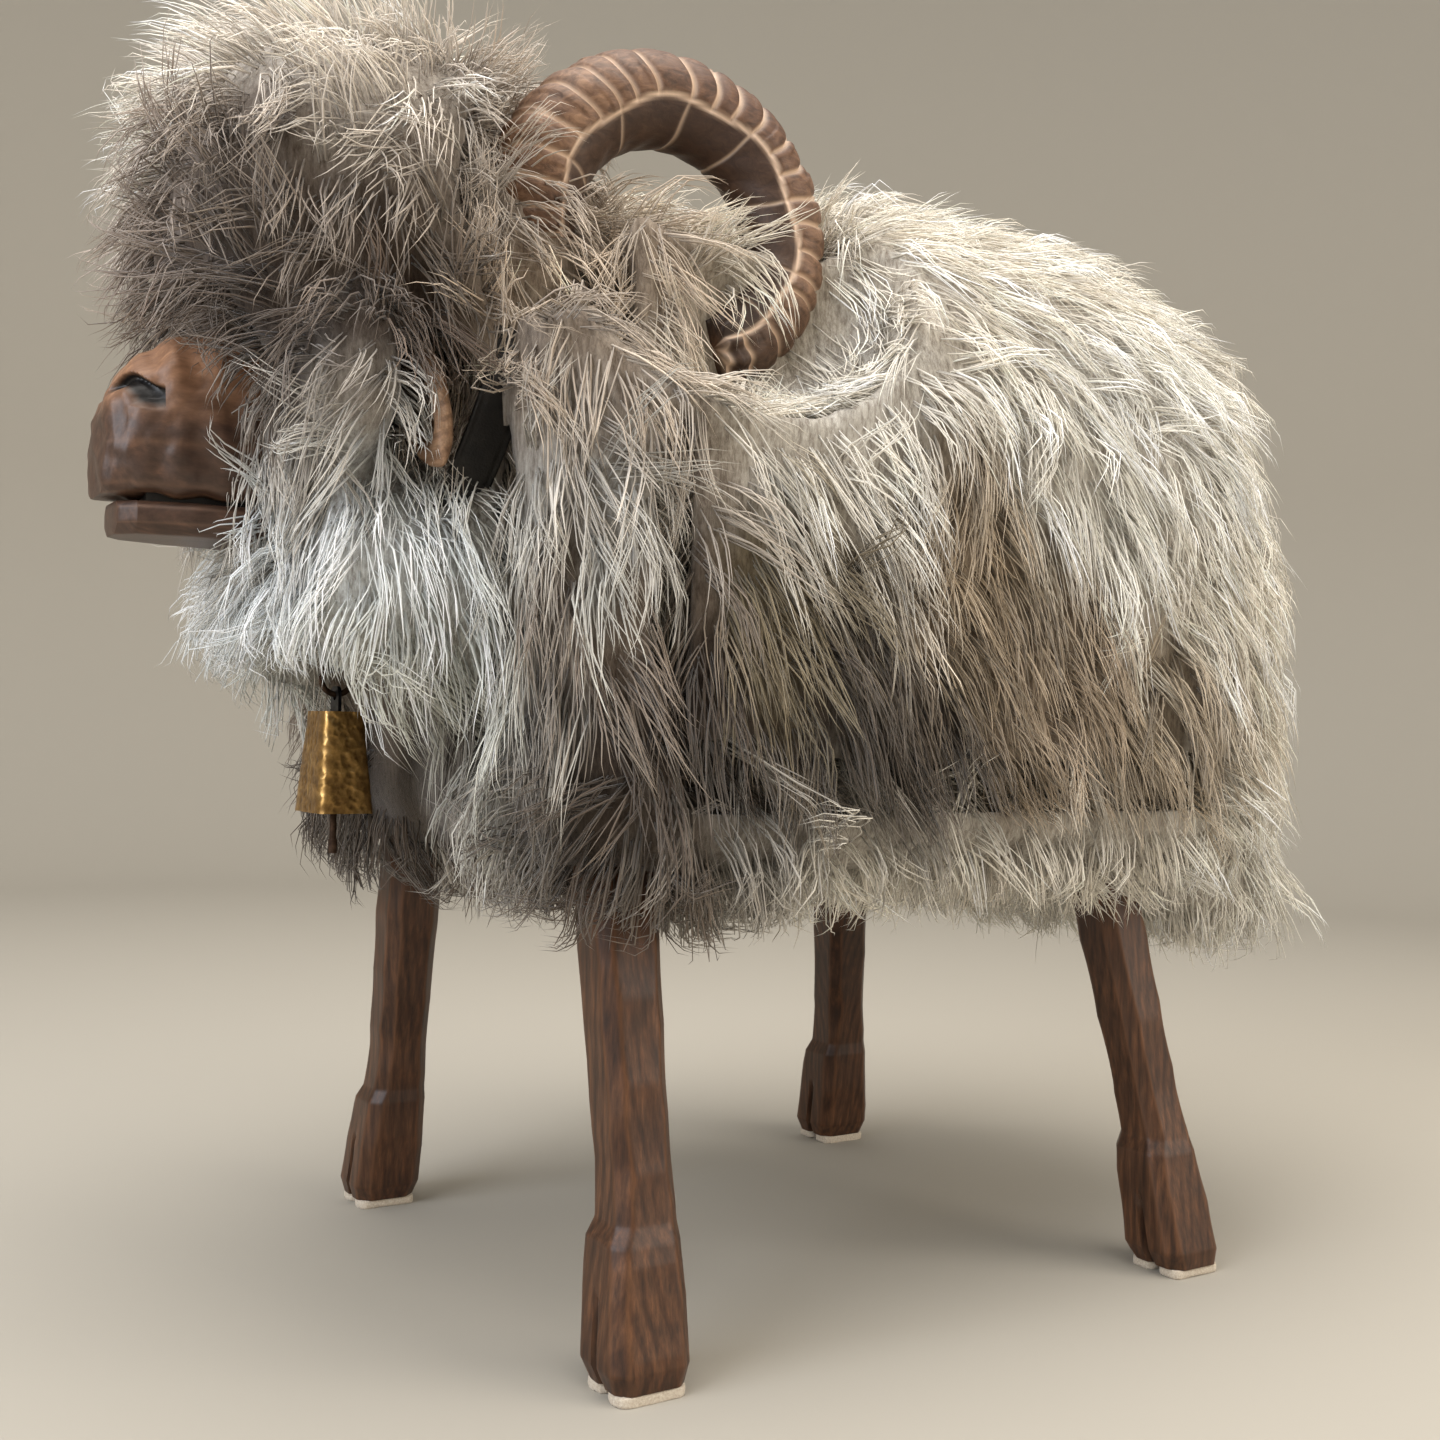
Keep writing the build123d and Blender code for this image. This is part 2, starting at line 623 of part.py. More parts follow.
base = base - bolt_space - screw_holes(frame_screws)
front_bulkhead = front_bulkhead - neck_screw_space - screw_holes(frame_screws)
riser = riser - screw_holes(frame_screws) - screw_holes(seat_screws)
rear_bulkhead = rear_bulkhead - screw_holes(frame_screws) - screw_holes(seat_screws)
seat = seat - screw_holes(seat_screws)
nodes["base_board"] = keep_biggest(base)
nodes["front_bulkhead"] = keep_biggest(front_bulkhead)
nodes["middle_bulkhead"] = keep_biggest(riser)
nodes["rear_bulkhead"] = keep_biggest(rear_bulkhead)
nodes["front_spine"] = front_spine
nodes["rear_spine"] = rear_spine
nodes["seat_board"] = keep_biggest(seat)
nodes["frame_screws"] = Compound([s.solids()[0] for s in frame_screws])
nodes["seat_screws"] = Compound([s.solids()[0] for s in seat_screws])
nodes["neck_screws"] = Compound([s.solids()[0] for s in neck_screws])
nodes["neck_post"] = keep_biggest(neck_post)
nodes["neck_peg"] = peg
nodes["head_block"] = head_block
nodes["muzzle"] = keep_biggest(muzzle)
nodes["muzzle_dowels"] = Compound([muzzle_dowel(s).solids()[0] for s in (1, -1)])
nodes["horn_dowels"] = Compound([horn_dowel(s).solids()[0] for s in (1, -1)])
nodes["ear_dowels"] = Compound([ear_dowel(s).solids()[0] for s in (1, -1)])

# ---------------------------------------------------------------- collar
strap_in_wide = neck_half_wide + strap_play
strap_in_tall = neck_half_tall + strap_play
half_strap = strap_width / 2


def oval_band(inner_play, outer, half_width):
    """Band of an oval tube round the neck, between two offsets from the strap's inside."""
    out = neck_oval(strap_in_wide + outer, strap_in_tall + outer, -half_width, half_width)
    return out - neck_oval(strap_in_wide - inner_play, strap_in_tall - inner_play,
                           -half_width - 1, half_width + 1)


strap = oval_band(0, strap_thick, half_strap)
buckle_out = strap_in_wide + strap_thick
flat = (Align.CENTER, Align.CENTER, Align.MIN)
buckle_plane = Plane(origin=collar_middle - Vector(buckle_out + buckle_lift, 0, 0),
                     x_dir=tuple(collar_up), z_dir=(-1, 0, 0))
buckle = Box(2 * buckle_half[0], 2 * buckle_half[1], buckle_thick, align=flat)
buckle = fillet(buckle.edges().filter_by(Axis.Z), 4)
buckle -= Pos(0, 0, -1) * Box(2 * (buckle_half[0] - buckle_bar), 2 * (buckle_half[1] - buckle_bar),
                              buckle_thick + 2, align=flat)
nodes["collar_buckle"] = (buckle_plane * buckle).solids()[0]
prong_long = 2 * (buckle_half[0] - buckle_bar) - 0.6
nodes["buckle_prong"] = (buckle_plane * Box(prong_long, 3, 2, align=flat)).solids()[0]
keeper = oval_band(-strap_thick - buckle_lift, strap_thick + keeper_thick, half_strap + 2)
keeper_low = collar_z + keeper_up
keeper_cut = block(-2 * buckle_out, 0, -400, 0, keeper_low, keeper_low + keeper_tall)
nodes["collar_keeper"] = keep_biggest(keeper & keeper_cut)
strap_low_y, strap_low_z = along_neck(0, -(strap_in_tall + strap_thick))
staple_z = strap_low_z - staple_drop
staple_y = strap_low_y
staple = rod((-staple_half, staple_y, staple_z), (staple_half, staple_y, staple_z), ring_wire)
for x in (-staple_half, staple_half):
    staple += rod((x, staple_y, staple_z), (x, staple_y, strap_low_z + 1.0), ring_wire)
    staple += Pos(x, staple_y, staple_z) * Sphere(ring_wire)
nodes["collar_staple"] = keep_biggest(staple - neck_oval(strap_in_wide + strap_thick,
                                                         strap_in_tall + strap_thick, -30, 30))
nodes["collar_strap"] = keep_biggest(strap)

# ---------------------------------------------------------------- bell
# The ring hangs on the staple's cross wire and turns about X; the bell hangs on the ring's
# lowest point and turns about Y; the clapper hangs on the bell's inner eye and turns about X.
ring_top_z = staple_z + 2 * ring_wire + link_play
ring_mid_z = ring_top_z - ring_radius
ring_low_z = ring_mid_z - ring_radius
ring = Plane(origin=(0, staple_y, ring_mid_z), z_dir=(1, 0, 0)) * Torus(ring_radius, ring_wire)
nodes["bell_ring"] = ring

hole_low = link_hole - ring_wire - link_play
tab_hole_z = ring_low_z - hole_low
bell_top_z = tab_hole_z - tab_rise
bell_mouth_z = bell_top_z - bell_height


def bell_form(top_half, mouth_half, top_z, low_z, corner):
    """Tapered box with rounded upright corners, from its top down to its mouth."""
    top = Pos(0, staple_y, top_z) * RectangleRounded(2 * top_half[0], 2 * top_half[1], corner)
    mouth = Pos(0, staple_y, low_z) * RectangleRounded(2 * mouth_half[0], 2 * mouth_half[1], corner)
    return Solid.make_loft([top.face().outer_wire(), mouth.face().outer_wire()], ruled=True)


inner_top = tuple(v - bell_wall for v in bell_top_half)
inner_mouth = tuple(v - bell_wall for v in bell_mouth_half)
bell = bell_form(bell_top_half, bell_mouth_half, bell_top_z, bell_mouth_z, bell_corner)
bell = bell - bell_form(inner_top, inner_mouth, bell_top_z - bell_wall, bell_mouth_z, bell_corner - bell_wall)
bell = bell - block(-neck_half, neck_half, staple_y - tab_thick / 2, staple_y + tab_thick / 2,
                    bell_top_z - bell_wall - 1, bell_top_z + 1)
nodes["bell_shell"] = keep_biggest(bell)

tab = block(-tab_half, tab_half, staple_y - tab_thick / 2, staple_y + tab_thick / 2,
            bell_top_z, tab_hole_z + link_hole + tab_over_hole)
tab = fillet(tab.edges().filter_by(Axis.Y).sort_by(Axis.Z)[-2:], tab_corner)
tab += block(-neck_half, neck_half, staple_y - tab_thick / 2, staple_y + tab_thick / 2,
             bell_top_z - bell_wall, bell_top_z)
clapper_pivot_z = bell_top_z - eye_drop
eye_hole_z = clapper_pivot_z + hole_low
eye_low = eye_hole_z - link_hole - eye_under_hole
tab += block(-tab_thick / 2, tab_thick / 2, staple_y - eye_half, staple_y + eye_half, eye_low, bell_top_z - bell_wall)
tab -= rod((0, staple_y - 5, tab_hole_z), (0, staple_y + 5, tab_hole_z), link_hole)
tab -= rod((-5, staple_y, eye_hole_z), (5, staple_y, eye_hole_z), link_hole)
nodes["bell_hanger"] = keep_biggest(tab)

clapper_end_z = bell_mouth_z - clapper_below
wire_top_z = clapper_pivot_z
clapper = Plane(origin=(0, staple_y, wire_top_z - clapper_ring), z_dir=(0, 1, 0)) * Torus(
    clapper_ring, clapper_wire)
clapper += rod((0, staple_y, wire_top_z - 2 * clapper_ring), (0, staple_y, clapper_end_z), rod_radius)
clapper += rod((0, staple_y, clapper_end_z + rod_end_long), (0, staple_y, clapper_end_z), rod_end_radius)
nodes["clapper"] = keep_biggest(clapper)

# Room in front of the chest for the bell as it swings back and to the sides.
swing_room = block(-swing_half, swing_half, -2 * reach, staple_y + swing_behind,
                   bell_mouth_z - clapper_below - swing_below, ring_mid_z + swing_over)
swing_room += block(-link_room, link_room, staple_y - link_room, staple_y + link_room,
                    ring_mid_z, strap_low_z + swing_over)

# ---------------------------------------------------------------- padding under the skins
core = three_way(core_half, core_front_y, core_rear_y, core_floor_z, core_top_z,
                 core_radii, core_edge_radii, core_side_radii)
seat_top_z = seat_z + seat_board_thick
half_pad = bulkhead_half + pad_gap
side_low = base_top + washer_thick + nut_thick + bolt_over_nut + nut_room
nodes["back_padding"] = keep_biggest(
    core & block(-170, 170, riser_y, 400, seat_top_z + pad_gap, 700))
flank_room = block(half_pad, 200, front_bulkhead_y + board + board_play, rear_bulkhead_y + board, side_low, seat_z - pad_gap)
nodes["left_flank_padding"] = keep_biggest((core & flank_room) - horn_space(1))
nodes["right_flank_padding"] = keep_biggest((core & mirrored(flank_room)) - horn_space(-1))
rump_room = block(-200, 200, rear_bulkhead_y + board + pad_gap, 400, base_top + pad_gap, seat_z - pad_gap)
nodes["rump_padding"] = keep_biggest(core & rump_room)
ear_room = ear_loft(1, grow=ear_play) + ear_loft(-1, grow=ear_play)
post_space = neck_bar(neck_post_wide + 2 * pad_gap, neck_post_tall + 2 * pad_gap, -80, 60)
block_space = grown_plate(block_points, block_half, pad_gap)
neck_pad = neck_oval(neck_half_wide, neck_half_tall, -40, neck_joint_s)
neck_pad = neck_pad - block(-300, 300, front_bulkhead_y - pad_gap, 600, 0, 900) - post_space
nodes["neck_padding"] = keep_biggest(neck_pad - block_space - ear_room)

# ---------------------------------------------------------------- sheepskin panels
tunnel = neck_oval(strap_in_wide + strap_thick + tunnel_play, strap_in_tall + strap_thick + tunnel_play, -60, 38)
buckle_room = buckle_out + buckle_lift + buckle_thick + 1.5
pocket = block(-buckle_room, 0, collar_y - 24, collar_y + 34, collar_z - 22, keeper_low + keeper_tall + 3)
hollow = tunnel + pocket
head_room = grown_plate(block_points, block_half, 1.0)
muzzle_half = muzzle_sections[-1][2] + muzzle_play
muzzle_room = block(-muzzle_half, muzzle_half, -2 * reach, block_front_y + 1, jaw_low_z - muzzle_play, muzzle_room_top_z)

crown = pillow(-crown_half, crown_half, crown_front_y, crown_rear_y, crown_floor_z, crown_top_z, crown_radius)
crown_grown = pillow(-crown_half - seam_gap, crown_half + seam_gap, crown_front_y - seam_gap,
                     crown_rear_y + seam_gap, crown_floor_z - seam_gap, crown_top_z + seam_gap, crown_radius)
cheek = pillow(-cheek_half, cheek_half, cheek_front_y, cheek_rear_y, cheek_low_z, cheek_high_z, cheek_radius)
cheek_grown = pillow(-cheek_half - seam_gap, cheek_half + seam_gap, cheek_front_y - seam_gap,
                     cheek_rear_y + seam_gap, cheek_low_z - seam_gap, cheek_high_z + seam_gap, cheek_radius)
chest = pillow(-chest_half, chest_half, chest_front_y, base_front_y - 1, chest_low_z, chest_high_z, chest_radius)
chest_grown = pillow(-chest_half - seam_gap, chest_half + seam_gap, chest_front_y - seam_gap,
                     base_front_y - 1 + seam_gap, chest_low_z - seam_gap, chest_high_z + seam_gap, chest_radius)
horn_rooms = horn_space(1) + horn_space(-1)

nodes["crown_fleece"] = keep_biggest(
    crown - head_room - hollow - horn_rooms - ear_room - muzzle_room - post_space)
nodes["cheek_fleece"] = keep_biggest(
    cheek - crown_grown - head_room - hollow - ear_room - muzzle_room)
nodes["chest_fleece"] = keep_biggest(
    chest - crown_grown - cheek_grown - hollow - head_room - ear_room - muzzle_room - swing_room)

body = three_way(fleece_half, fleece_front_y, reach, belly_z, back_z,
                 (brisket_radius, rump_radius), (skirt_radius, loin_radius), (side_radius, croup_radius))
core_space = three_way(core_half + core_play, core_front_y - core_play, core_rear_y + core_play,
                       core_floor_z - core_play, core_top_z + core_play, core_radii, core_edge_radii, core_side_radii)
skin = body - core_space - crown_grown - cheek_grown - chest_grown - hollow - horn_rooms - ear_room
skin = skin - leg_space - swing_room
half_gap = seam_gap / 2
floor_cut = core_floor_z - half_gap
far = 500.0
shoulder_zone = block(half_gap, far, -far, shoulder_seam_y - half_gap, floor_cut + seam_gap, shoulder_top_z)
flank_zone = block(half_gap, far, shoulder_seam_y + half_gap, rump_seam_y - half_gap,
                   floor_cut + seam_gap, back_seam_z - half_gap)
back_zone = block(-far, far, back_front_y + half_gap, far, back_seam_z + half_gap, back_z + outline_play)
back_zone = fillet(back_zone.edges().filter_by(Axis.X).sort_by(Axis.Y)[:2].sort_by(Axis.Z)[-1:], back_front_radius)
rump_zone = block(-far, far, rump_seam_y + half_gap, far, floor_cut + seam_gap, back_seam_z - half_gap)
belly_zone = block(-far, far, -far, breech_seam_y - seam_gap, 0, floor_cut)
nodes["left_shoulder_fleece"] = keep_biggest(skin & shoulder_zone)
nodes["right_shoulder_fleece"] = keep_biggest(skin & mirrored(shoulder_zone))
withers = pillow(-withers_half, withers_half, withers_front_y, back_front_y - half_gap,
                 withers_low_z, withers_top_z, withers_radius)
nodes["withers_fleece"] = keep_biggest(
    withers - crown_grown - hollow - head_room - post_space - core_space)
nodes["left_flank_fleece"] = keep_biggest(skin & flank_zone)
nodes["right_flank_fleece"] = keep_biggest(skin & mirrored(flank_zone))
nodes["back_fleece"] = keep_biggest(skin & back_zone)
nodes["rump_fleece"] = keep_biggest(skin & rump_zone)
nodes["belly_fleece"] = keep_biggest(skin & belly_zone)
breech = pillow(-breech_half, breech_half, breech_seam_y, reach - breech_short, breech_low_z, floor_cut, breech_radius)
nodes["breech_fleece"] = keep_biggest(breech - leg_space)

# ---------------------------------------------------------------- write the parts
os.makedirs("parts", exist_ok=True)
for name, shape in nodes.items():
    if isinstance(shape, ShapeList):
        shape = Compound(list(shape))
    export_step(shape, f"parts/{name}.step")
    print(f"{name:24s} solids {len(shape.solids())} volume {shape.volume / 1000:.1f} cm3")
print("ring middle", round(ring_mid_z, 2), "ring low", round(ring_low_z, 2), "staple", round(staple_y, 2),
      round(staple_z, 2), "clapper pivot", round(clapper_pivot_z, 2), "bell", round(bell_top_z, 2),
      round(bell_mouth_z, 2), "clapper end", round(clapper_end_z, 2))
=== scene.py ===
# %% [markdown]
# A ram stool: sheepskins over a padded pine frame, with carved legs, muzzle, ears and ringed
# horns, a leather collar and a hammered cowbell. The imported frame gives every place and size,
# and this file gives the looks. First the frame is loaded and its box is kept.
# %% Load the frame
import bpy
import numpy as np
from math import cos, pi, radians, sin
from mathutils import Matrix, Vector
from mathutils.bvhtree import BVHTree


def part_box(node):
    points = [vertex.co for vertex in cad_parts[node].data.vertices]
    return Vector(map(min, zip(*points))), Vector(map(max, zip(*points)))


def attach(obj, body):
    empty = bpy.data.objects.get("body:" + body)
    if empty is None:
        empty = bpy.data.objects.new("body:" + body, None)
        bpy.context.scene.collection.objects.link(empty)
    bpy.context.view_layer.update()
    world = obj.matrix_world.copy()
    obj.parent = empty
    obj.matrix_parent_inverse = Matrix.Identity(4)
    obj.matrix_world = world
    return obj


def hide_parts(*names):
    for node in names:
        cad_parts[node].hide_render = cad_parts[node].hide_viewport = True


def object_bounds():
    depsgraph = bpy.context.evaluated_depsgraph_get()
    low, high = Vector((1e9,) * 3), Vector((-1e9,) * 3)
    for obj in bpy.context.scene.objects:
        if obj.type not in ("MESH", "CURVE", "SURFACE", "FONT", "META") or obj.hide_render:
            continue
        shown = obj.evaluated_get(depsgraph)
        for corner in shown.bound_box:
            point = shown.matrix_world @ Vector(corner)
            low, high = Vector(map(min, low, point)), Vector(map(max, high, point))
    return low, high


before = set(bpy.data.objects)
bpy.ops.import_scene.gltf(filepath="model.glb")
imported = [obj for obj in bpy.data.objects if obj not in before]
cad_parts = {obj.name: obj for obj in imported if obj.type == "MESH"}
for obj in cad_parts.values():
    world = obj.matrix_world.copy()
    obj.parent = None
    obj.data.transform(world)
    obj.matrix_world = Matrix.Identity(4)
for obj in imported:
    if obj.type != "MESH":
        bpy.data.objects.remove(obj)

cad_low, cad_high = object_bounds()
MM = 0.001                                   # this file works in metres and names sizes in mm
print("frame box", [round(v, 4) for v in (*cad_low, *cad_high)])

# %% [markdown]
# A product picture starts with its camera. This one stands near knee height, level with the
# middle of the ram, and looks at its left side and front together.
# %% Camera
def make_camera(aim, away, azimuth, elevation, roll, lens):
    """The camera sits on a sphere round aim: azimuth turns it round from the front, elevation
    lifts it, and roll turns the picture about the line of sight."""
    a, e = radians(azimuth), radians(elevation)
    back = Vector((sin(a) * cos(e), -cos(a) * cos(e), sin(e)))
    turn = (-back).to_track_quat("-Z", "Y").to_matrix() @ Matrix.Rotation(radians(roll), 3, "Z")
    data = bpy.data.cameras.new("camera")
    data.lens, data.sensor_width = lens, 36.0
    data.clip_start, data.clip_end = 0.02, 50.0
    camera = bpy.data.objects.new("camera", data)
    camera.matrix_world = Matrix.Translation(aim + back * away) @ turn.to_4x4()
    bpy.context.scene.collection.objects.link(camera)
    return camera

camera = make_camera(Vector((-0.001, -0.008, 0.304)), 0.939, 58.0, -0.54, 1.27, 40.0)
bpy.context.scene.camera = camera
bpy.context.scene.view_settings.view_transform = "Standard"
print("camera at", [round(v, 3) for v in camera.location])

# %% [markdown]
# Every finish below is a small tree of nodes. One function adds a node with its settings and
# links, and one turns the hex colours of a paint card into the linear light Blender works in.
# %% Helpers for finishes
def linear(hexcode):
    """sRGB to linear: ((c + 0.055) / 1.055) ** 2.4, or c / 12.92 for the darkest colours."""
    c = np.array([int(hexcode[i:i + 2], 16) for i in (1, 3, 5)]) / 255
    c = np.where(c <= 0.04045, c / 12.92, ((c + 0.055) / 1.055) ** 2.4)
    return (*(float(v) for v in c), 1.0)

def add(tree, kind, links=None, **settings):
    """Adds a node, sets its properties and named or numbered inputs, and links other sockets to it."""
    made = tree.nodes.new(kind)
    for key, value in settings.items():
        if hasattr(made, key):
            setattr(made, key, value)
        else:
            made.inputs[key.replace("_", " ")].default_value = value
    for key, socket in (links or {}).items():
        tree.links.new(socket, made.inputs[key])
    return made

def ramp(tree, factor, *stops):
    """A colour band: each stop is a place from 0 to 1 and a hex colour."""
    band = add(tree, "ShaderNodeValToRGB", {"Fac": factor})
    while len(band.color_ramp.elements) < len(stops):
        band.color_ramp.elements.new(0.5)
    for element, (place, colour) in zip(band.color_ramp.elements, stops):
        element.position, element.color = place, linear(colour)
    return band.outputs["Color"]

def blend(tree, factor, under, over, kind="MIX"):
    """under where factor is 0 and over where it is 1; each may be a hex colour or a socket."""
    mix = add(tree, "ShaderNodeMix", data_type="RGBA", blend_type=kind)
    for name, value in (("A", under), ("B", over)):
        socket = [s for s in mix.inputs if s.name == name and s.type == "RGBA"][0]
        if isinstance(value, str):
            socket.default_value = linear(value)
        else:
            tree.links.new(value, socket)
    if isinstance(factor, float):
        mix.inputs[0].default_value = factor
    else:
        tree.links.new(factor, mix.inputs[0])
    return [s for s in mix.outputs if s.type == "RGBA"][0]

def finish_named(name, **settings):
    """An empty finish: its tree, and its Principled shader with constant sockets set on it."""
    material = bpy.data.materials.new(name)
    material.use_nodes = True
    shader = material.node_tree.nodes["Principled BSDF"]
    for key, value in settings.items():
        shader.inputs[key.replace("_", " ")].default_value = value
    return material, material.node_tree, shader

def place(tree, stretch=(1, 1, 1)):
    """Object coordinates in metres, stretched by a Mapping node."""
    here = add(tree, "ShaderNodeTexCoord").outputs["Object"]
    return add(tree, "ShaderNodeMapping", {"Vector": here}, Scale=stretch).outputs[0]

def bump(tree, shader, height, distance, strength=1.0):
    relief = add(tree, "ShaderNodeBump", {"Height": height}, Distance=distance, Strength=strength)
    tree.links.new(relief.outputs[0], shader.inputs["Normal"])

# %% [markdown]
# The legs, muzzle, ears and horns are pine and lime wood, cut with a knife and rubbed with
# brown stain. Stain soaks in between the growth rings and is rubbed off the edges, so each
# wood gets long grain along its cut, darker ring lines, and paler raised edges.
# %% Carved and stained wood
def stained_wood(name, dark, middle, pale, along, ring_mm, rough, edge=None):
    """Grain is noise stretched ten times along one axis; rings are a wave across it, ring_mm apart."""
    material, tree, shader = finish_named(name, Roughness=rough, Specular_IOR_Level=0.4)
    slow = [1.0, 1.0, 1.0]
    slow[along] = 0.09
    grain = add(tree, "ShaderNodeTexNoise", {"Vector": place(tree, slow)}, Scale=420.0,
                Detail=5.0, Roughness=0.65)
    slow[along] = 0.16
    rings = add(tree, "ShaderNodeTexWave", {"Vector": place(tree, slow)}, wave_type="RINGS",
                rings_direction="XYZ"[along], Scale=0.31 / (ring_mm * MM), Distortion=3.5,
                Detail=3.0, Detail_Scale=1.4)
    cloud = add(tree, "ShaderNodeTexNoise", {"Vector": place(tree)}, Scale=26.0, Detail=3.0)
    colour = ramp(tree, grain.outputs["Fac"], (0.3, dark), (0.52, middle), (0.72, pale))
    late = ramp(tree, rings.outputs["Fac"], (0.0, "#ffffff"), (0.62, "#e6d8cc"), (0.9, "#8f7562"))
    colour = blend(tree, 0.45, colour, late, "MULTIPLY")
    patchy = ramp(tree, cloud.outputs["Fac"], (0.3, "#a89a90"), (0.65, "#ffffff"))
    colour = blend(tree, 0.6, colour, patchy, "MULTIPLY")
    if edge:
        worn = add(tree, "ShaderNodeAttribute", attribute_name="worn").outputs["Fac"]
        colour = blend(tree, worn, colour, edge)
        # deep: painted shade, blended towards near black in the recesses that the mark picks out
        deep = add(tree, "ShaderNodeAttribute", attribute_name="deep").outputs["Fac"]
        colour = blend(tree, deep, colour, "#0d0806")
    tree.links.new(colour, shader.inputs["Base Color"])
    bump(tree, shader, grain.outputs["Fac"], 0.25 * MM, 0.4)
    return material

leg_wood = stained_wood("stained_pine", "#3a2619", "#593b27", "#754e33", 2, 5.0, 0.42, "#80583c")
ear_wood = stained_wood("carved_ear_wood", "#80644e", "#a28266", "#bf9f82", 0, 7.0, 0.55)
board_wood = stained_wood("raw_pine_board", "#a98a5e", "#c9ab7c", "#d9c197", 1, 6.0, 0.7)
dowel_wood = stained_wood("beech_dowel", "#b08a62", "#c9a57c", "#d6b890", 1, 3.0, 0.6)
print("woods", [m.name for m in (leg_wood, ear_wood, board_wood, dowel_wood)])

# %% [markdown]
# A piece made here is a grid of points worked out as whole arrays, closed by a point in the
# middle of each end, and turned right side out by the sign of its volume.
# %% Helpers for meshes
def grid_faces(rows, across):
    """Four-cornered faces between neighbouring rows of a tube whose last column joins its first."""
    r, c = np.arange(rows - 1)[:, None] * across, np.arange(across)[None, :]
    n = (c + 1) % across
    return np.stack([r + c, r + n, r + across + n, r + across + c], -1).reshape(-1, 4)

def capped(rings):
    """Points and faces of a tube of rings, its two ends closed by fans of triangles."""
    rows, across, _ = rings.shape
    points = np.concatenate([rings.reshape(-1, 3), rings[0].mean(0)[None], rings[-1].mean(0)[None]])
    k = np.arange(across)
    n, last = (k + 1) % across, (rows - 1) * across
    start = np.stack([np.full(across, rows * across), n, k], 1)
    end = np.stack([np.full(across, rows * across + 1), last + k, last + n], 1)
    return points, [grid_faces(rows, across), start, end]

def volume(points, faces):
    """Sum of the signed tetrahedra from the origin to each face's triangles."""
    total = 0.0
    for f in faces:
        for k in range(1, f.shape[1] - 1):
            a, b, c = points[f[:, 0]], points[f[:, k]], points[f[:, k + 1]]
            total += float((a * np.cross(b, c)).sum()) / 6
    return total

def piece(name, points, faces, material, body="ram", sharp=None, slot=None, replaces=(), **marks):
    """Puts points and faces into a mesh object at the origin; marks are numbers kept per point."""
    faces = list(faces)
    if volume(points, faces) < 0:
        faces = [f[:, ::-1] for f in faces]
    mesh = bpy.data.meshes.new(name)
    sizes = np.concatenate([np.full(len(f), f.shape[1]) for f in faces])
    corners = np.concatenate([f.ravel() for f in faces])
    mesh.vertices.add(len(points))
    mesh.vertices.foreach_set("co", points.astype(np.float32).ravel())
    mesh.loops.add(len(corners))
    mesh.loops.foreach_set("vertex_index", corners.astype(np.int32))
    mesh.polygons.add(len(sizes))
    mesh.polygons.foreach_set("loop_start", (np.cumsum(sizes) - sizes).astype(np.int32))
    mesh.update(calc_edges=True)
    mesh.shade_smooth()
    if sharp:
        mesh.set_sharp_from_angle(angle=radians(sharp))
    for key, value in marks.items():
        kind, field = ("FLOAT_COLOR", "color") if value.ndim == 2 else ("FLOAT", "value")
        mesh.attributes.new(key, kind, "POINT").data.foreach_set(field, value.astype(np.float32).ravel())
    mesh.materials.append(material)
    made = bpy.data.objects.new(name, mesh)
    bpy.context.scene.collection.objects.link(made)
    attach(made, body)
    if replaces:
        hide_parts(*replaces)
    return made

def triangles(made):
    return sum(len(p.vertices) - 2 for p in made.data.polygons)

def between(places, stations, column):
    """A profile read at any place: straight lines between its named stations."""
    table = np.array(stations, float)
    order = np.argsort(table[:, 0])
    return np.interp(places, table[order, 0], table[order, column])

def waves(points, size_mm, seed, count=7):
    """A smooth random field in three numbers: the sum of a few sine waves of about that length."""
    rng = np.random.default_rng(seed)
    k = rng.normal(size=(count, 3)) * 2 * pi / (size_mm * MM) * 0.6
    phase, lean = rng.uniform(0, 2 * pi, count), rng.normal(size=(count, 3))
    return np.sin(points @ k.T + phase) @ lean / np.sqrt(count)

# %% [markdown]
# Each leg is one thick pine post. The carver sawed its outline, flattened eight sides with a
# drawknife, left short scooped strokes, cut a step where the hoof starts and split the hoof
# in front. The section is an octagon: at each angle its reach is the nearest of eight planes.
# %% Legs
leg_across, leg_rows = 112, 130
# height, half width, reach forward, reach back, in mm above the floor
leg_outline = [(5, 18.5, 21.5, 15.5), (14, 21.5, 24.5, 17.5), (44, 20.5, 22, 18), (66, 19, 19.5, 18),
               (74, 17, 15.5, 17.5), (100, 16, 14.5, 17), (135, 16.5, 15.5, 16.5),
               (185, 17, 17, 17), (250, 17.5, 17.5, 17.5)]
leg_chamfer, stroke_depth, cleft_wide, cleft_deep, cleft_top = 6.5, 0.8, 2.6, 4.5, 46.0

leg_planes = np.stack([np.cos(np.arange(8) * pi / 4), np.sin(np.arange(8) * pi / 4)], 1)
step_z, step_fade = 70, 12                       # the hoof's upper edge, and the unworn band round it

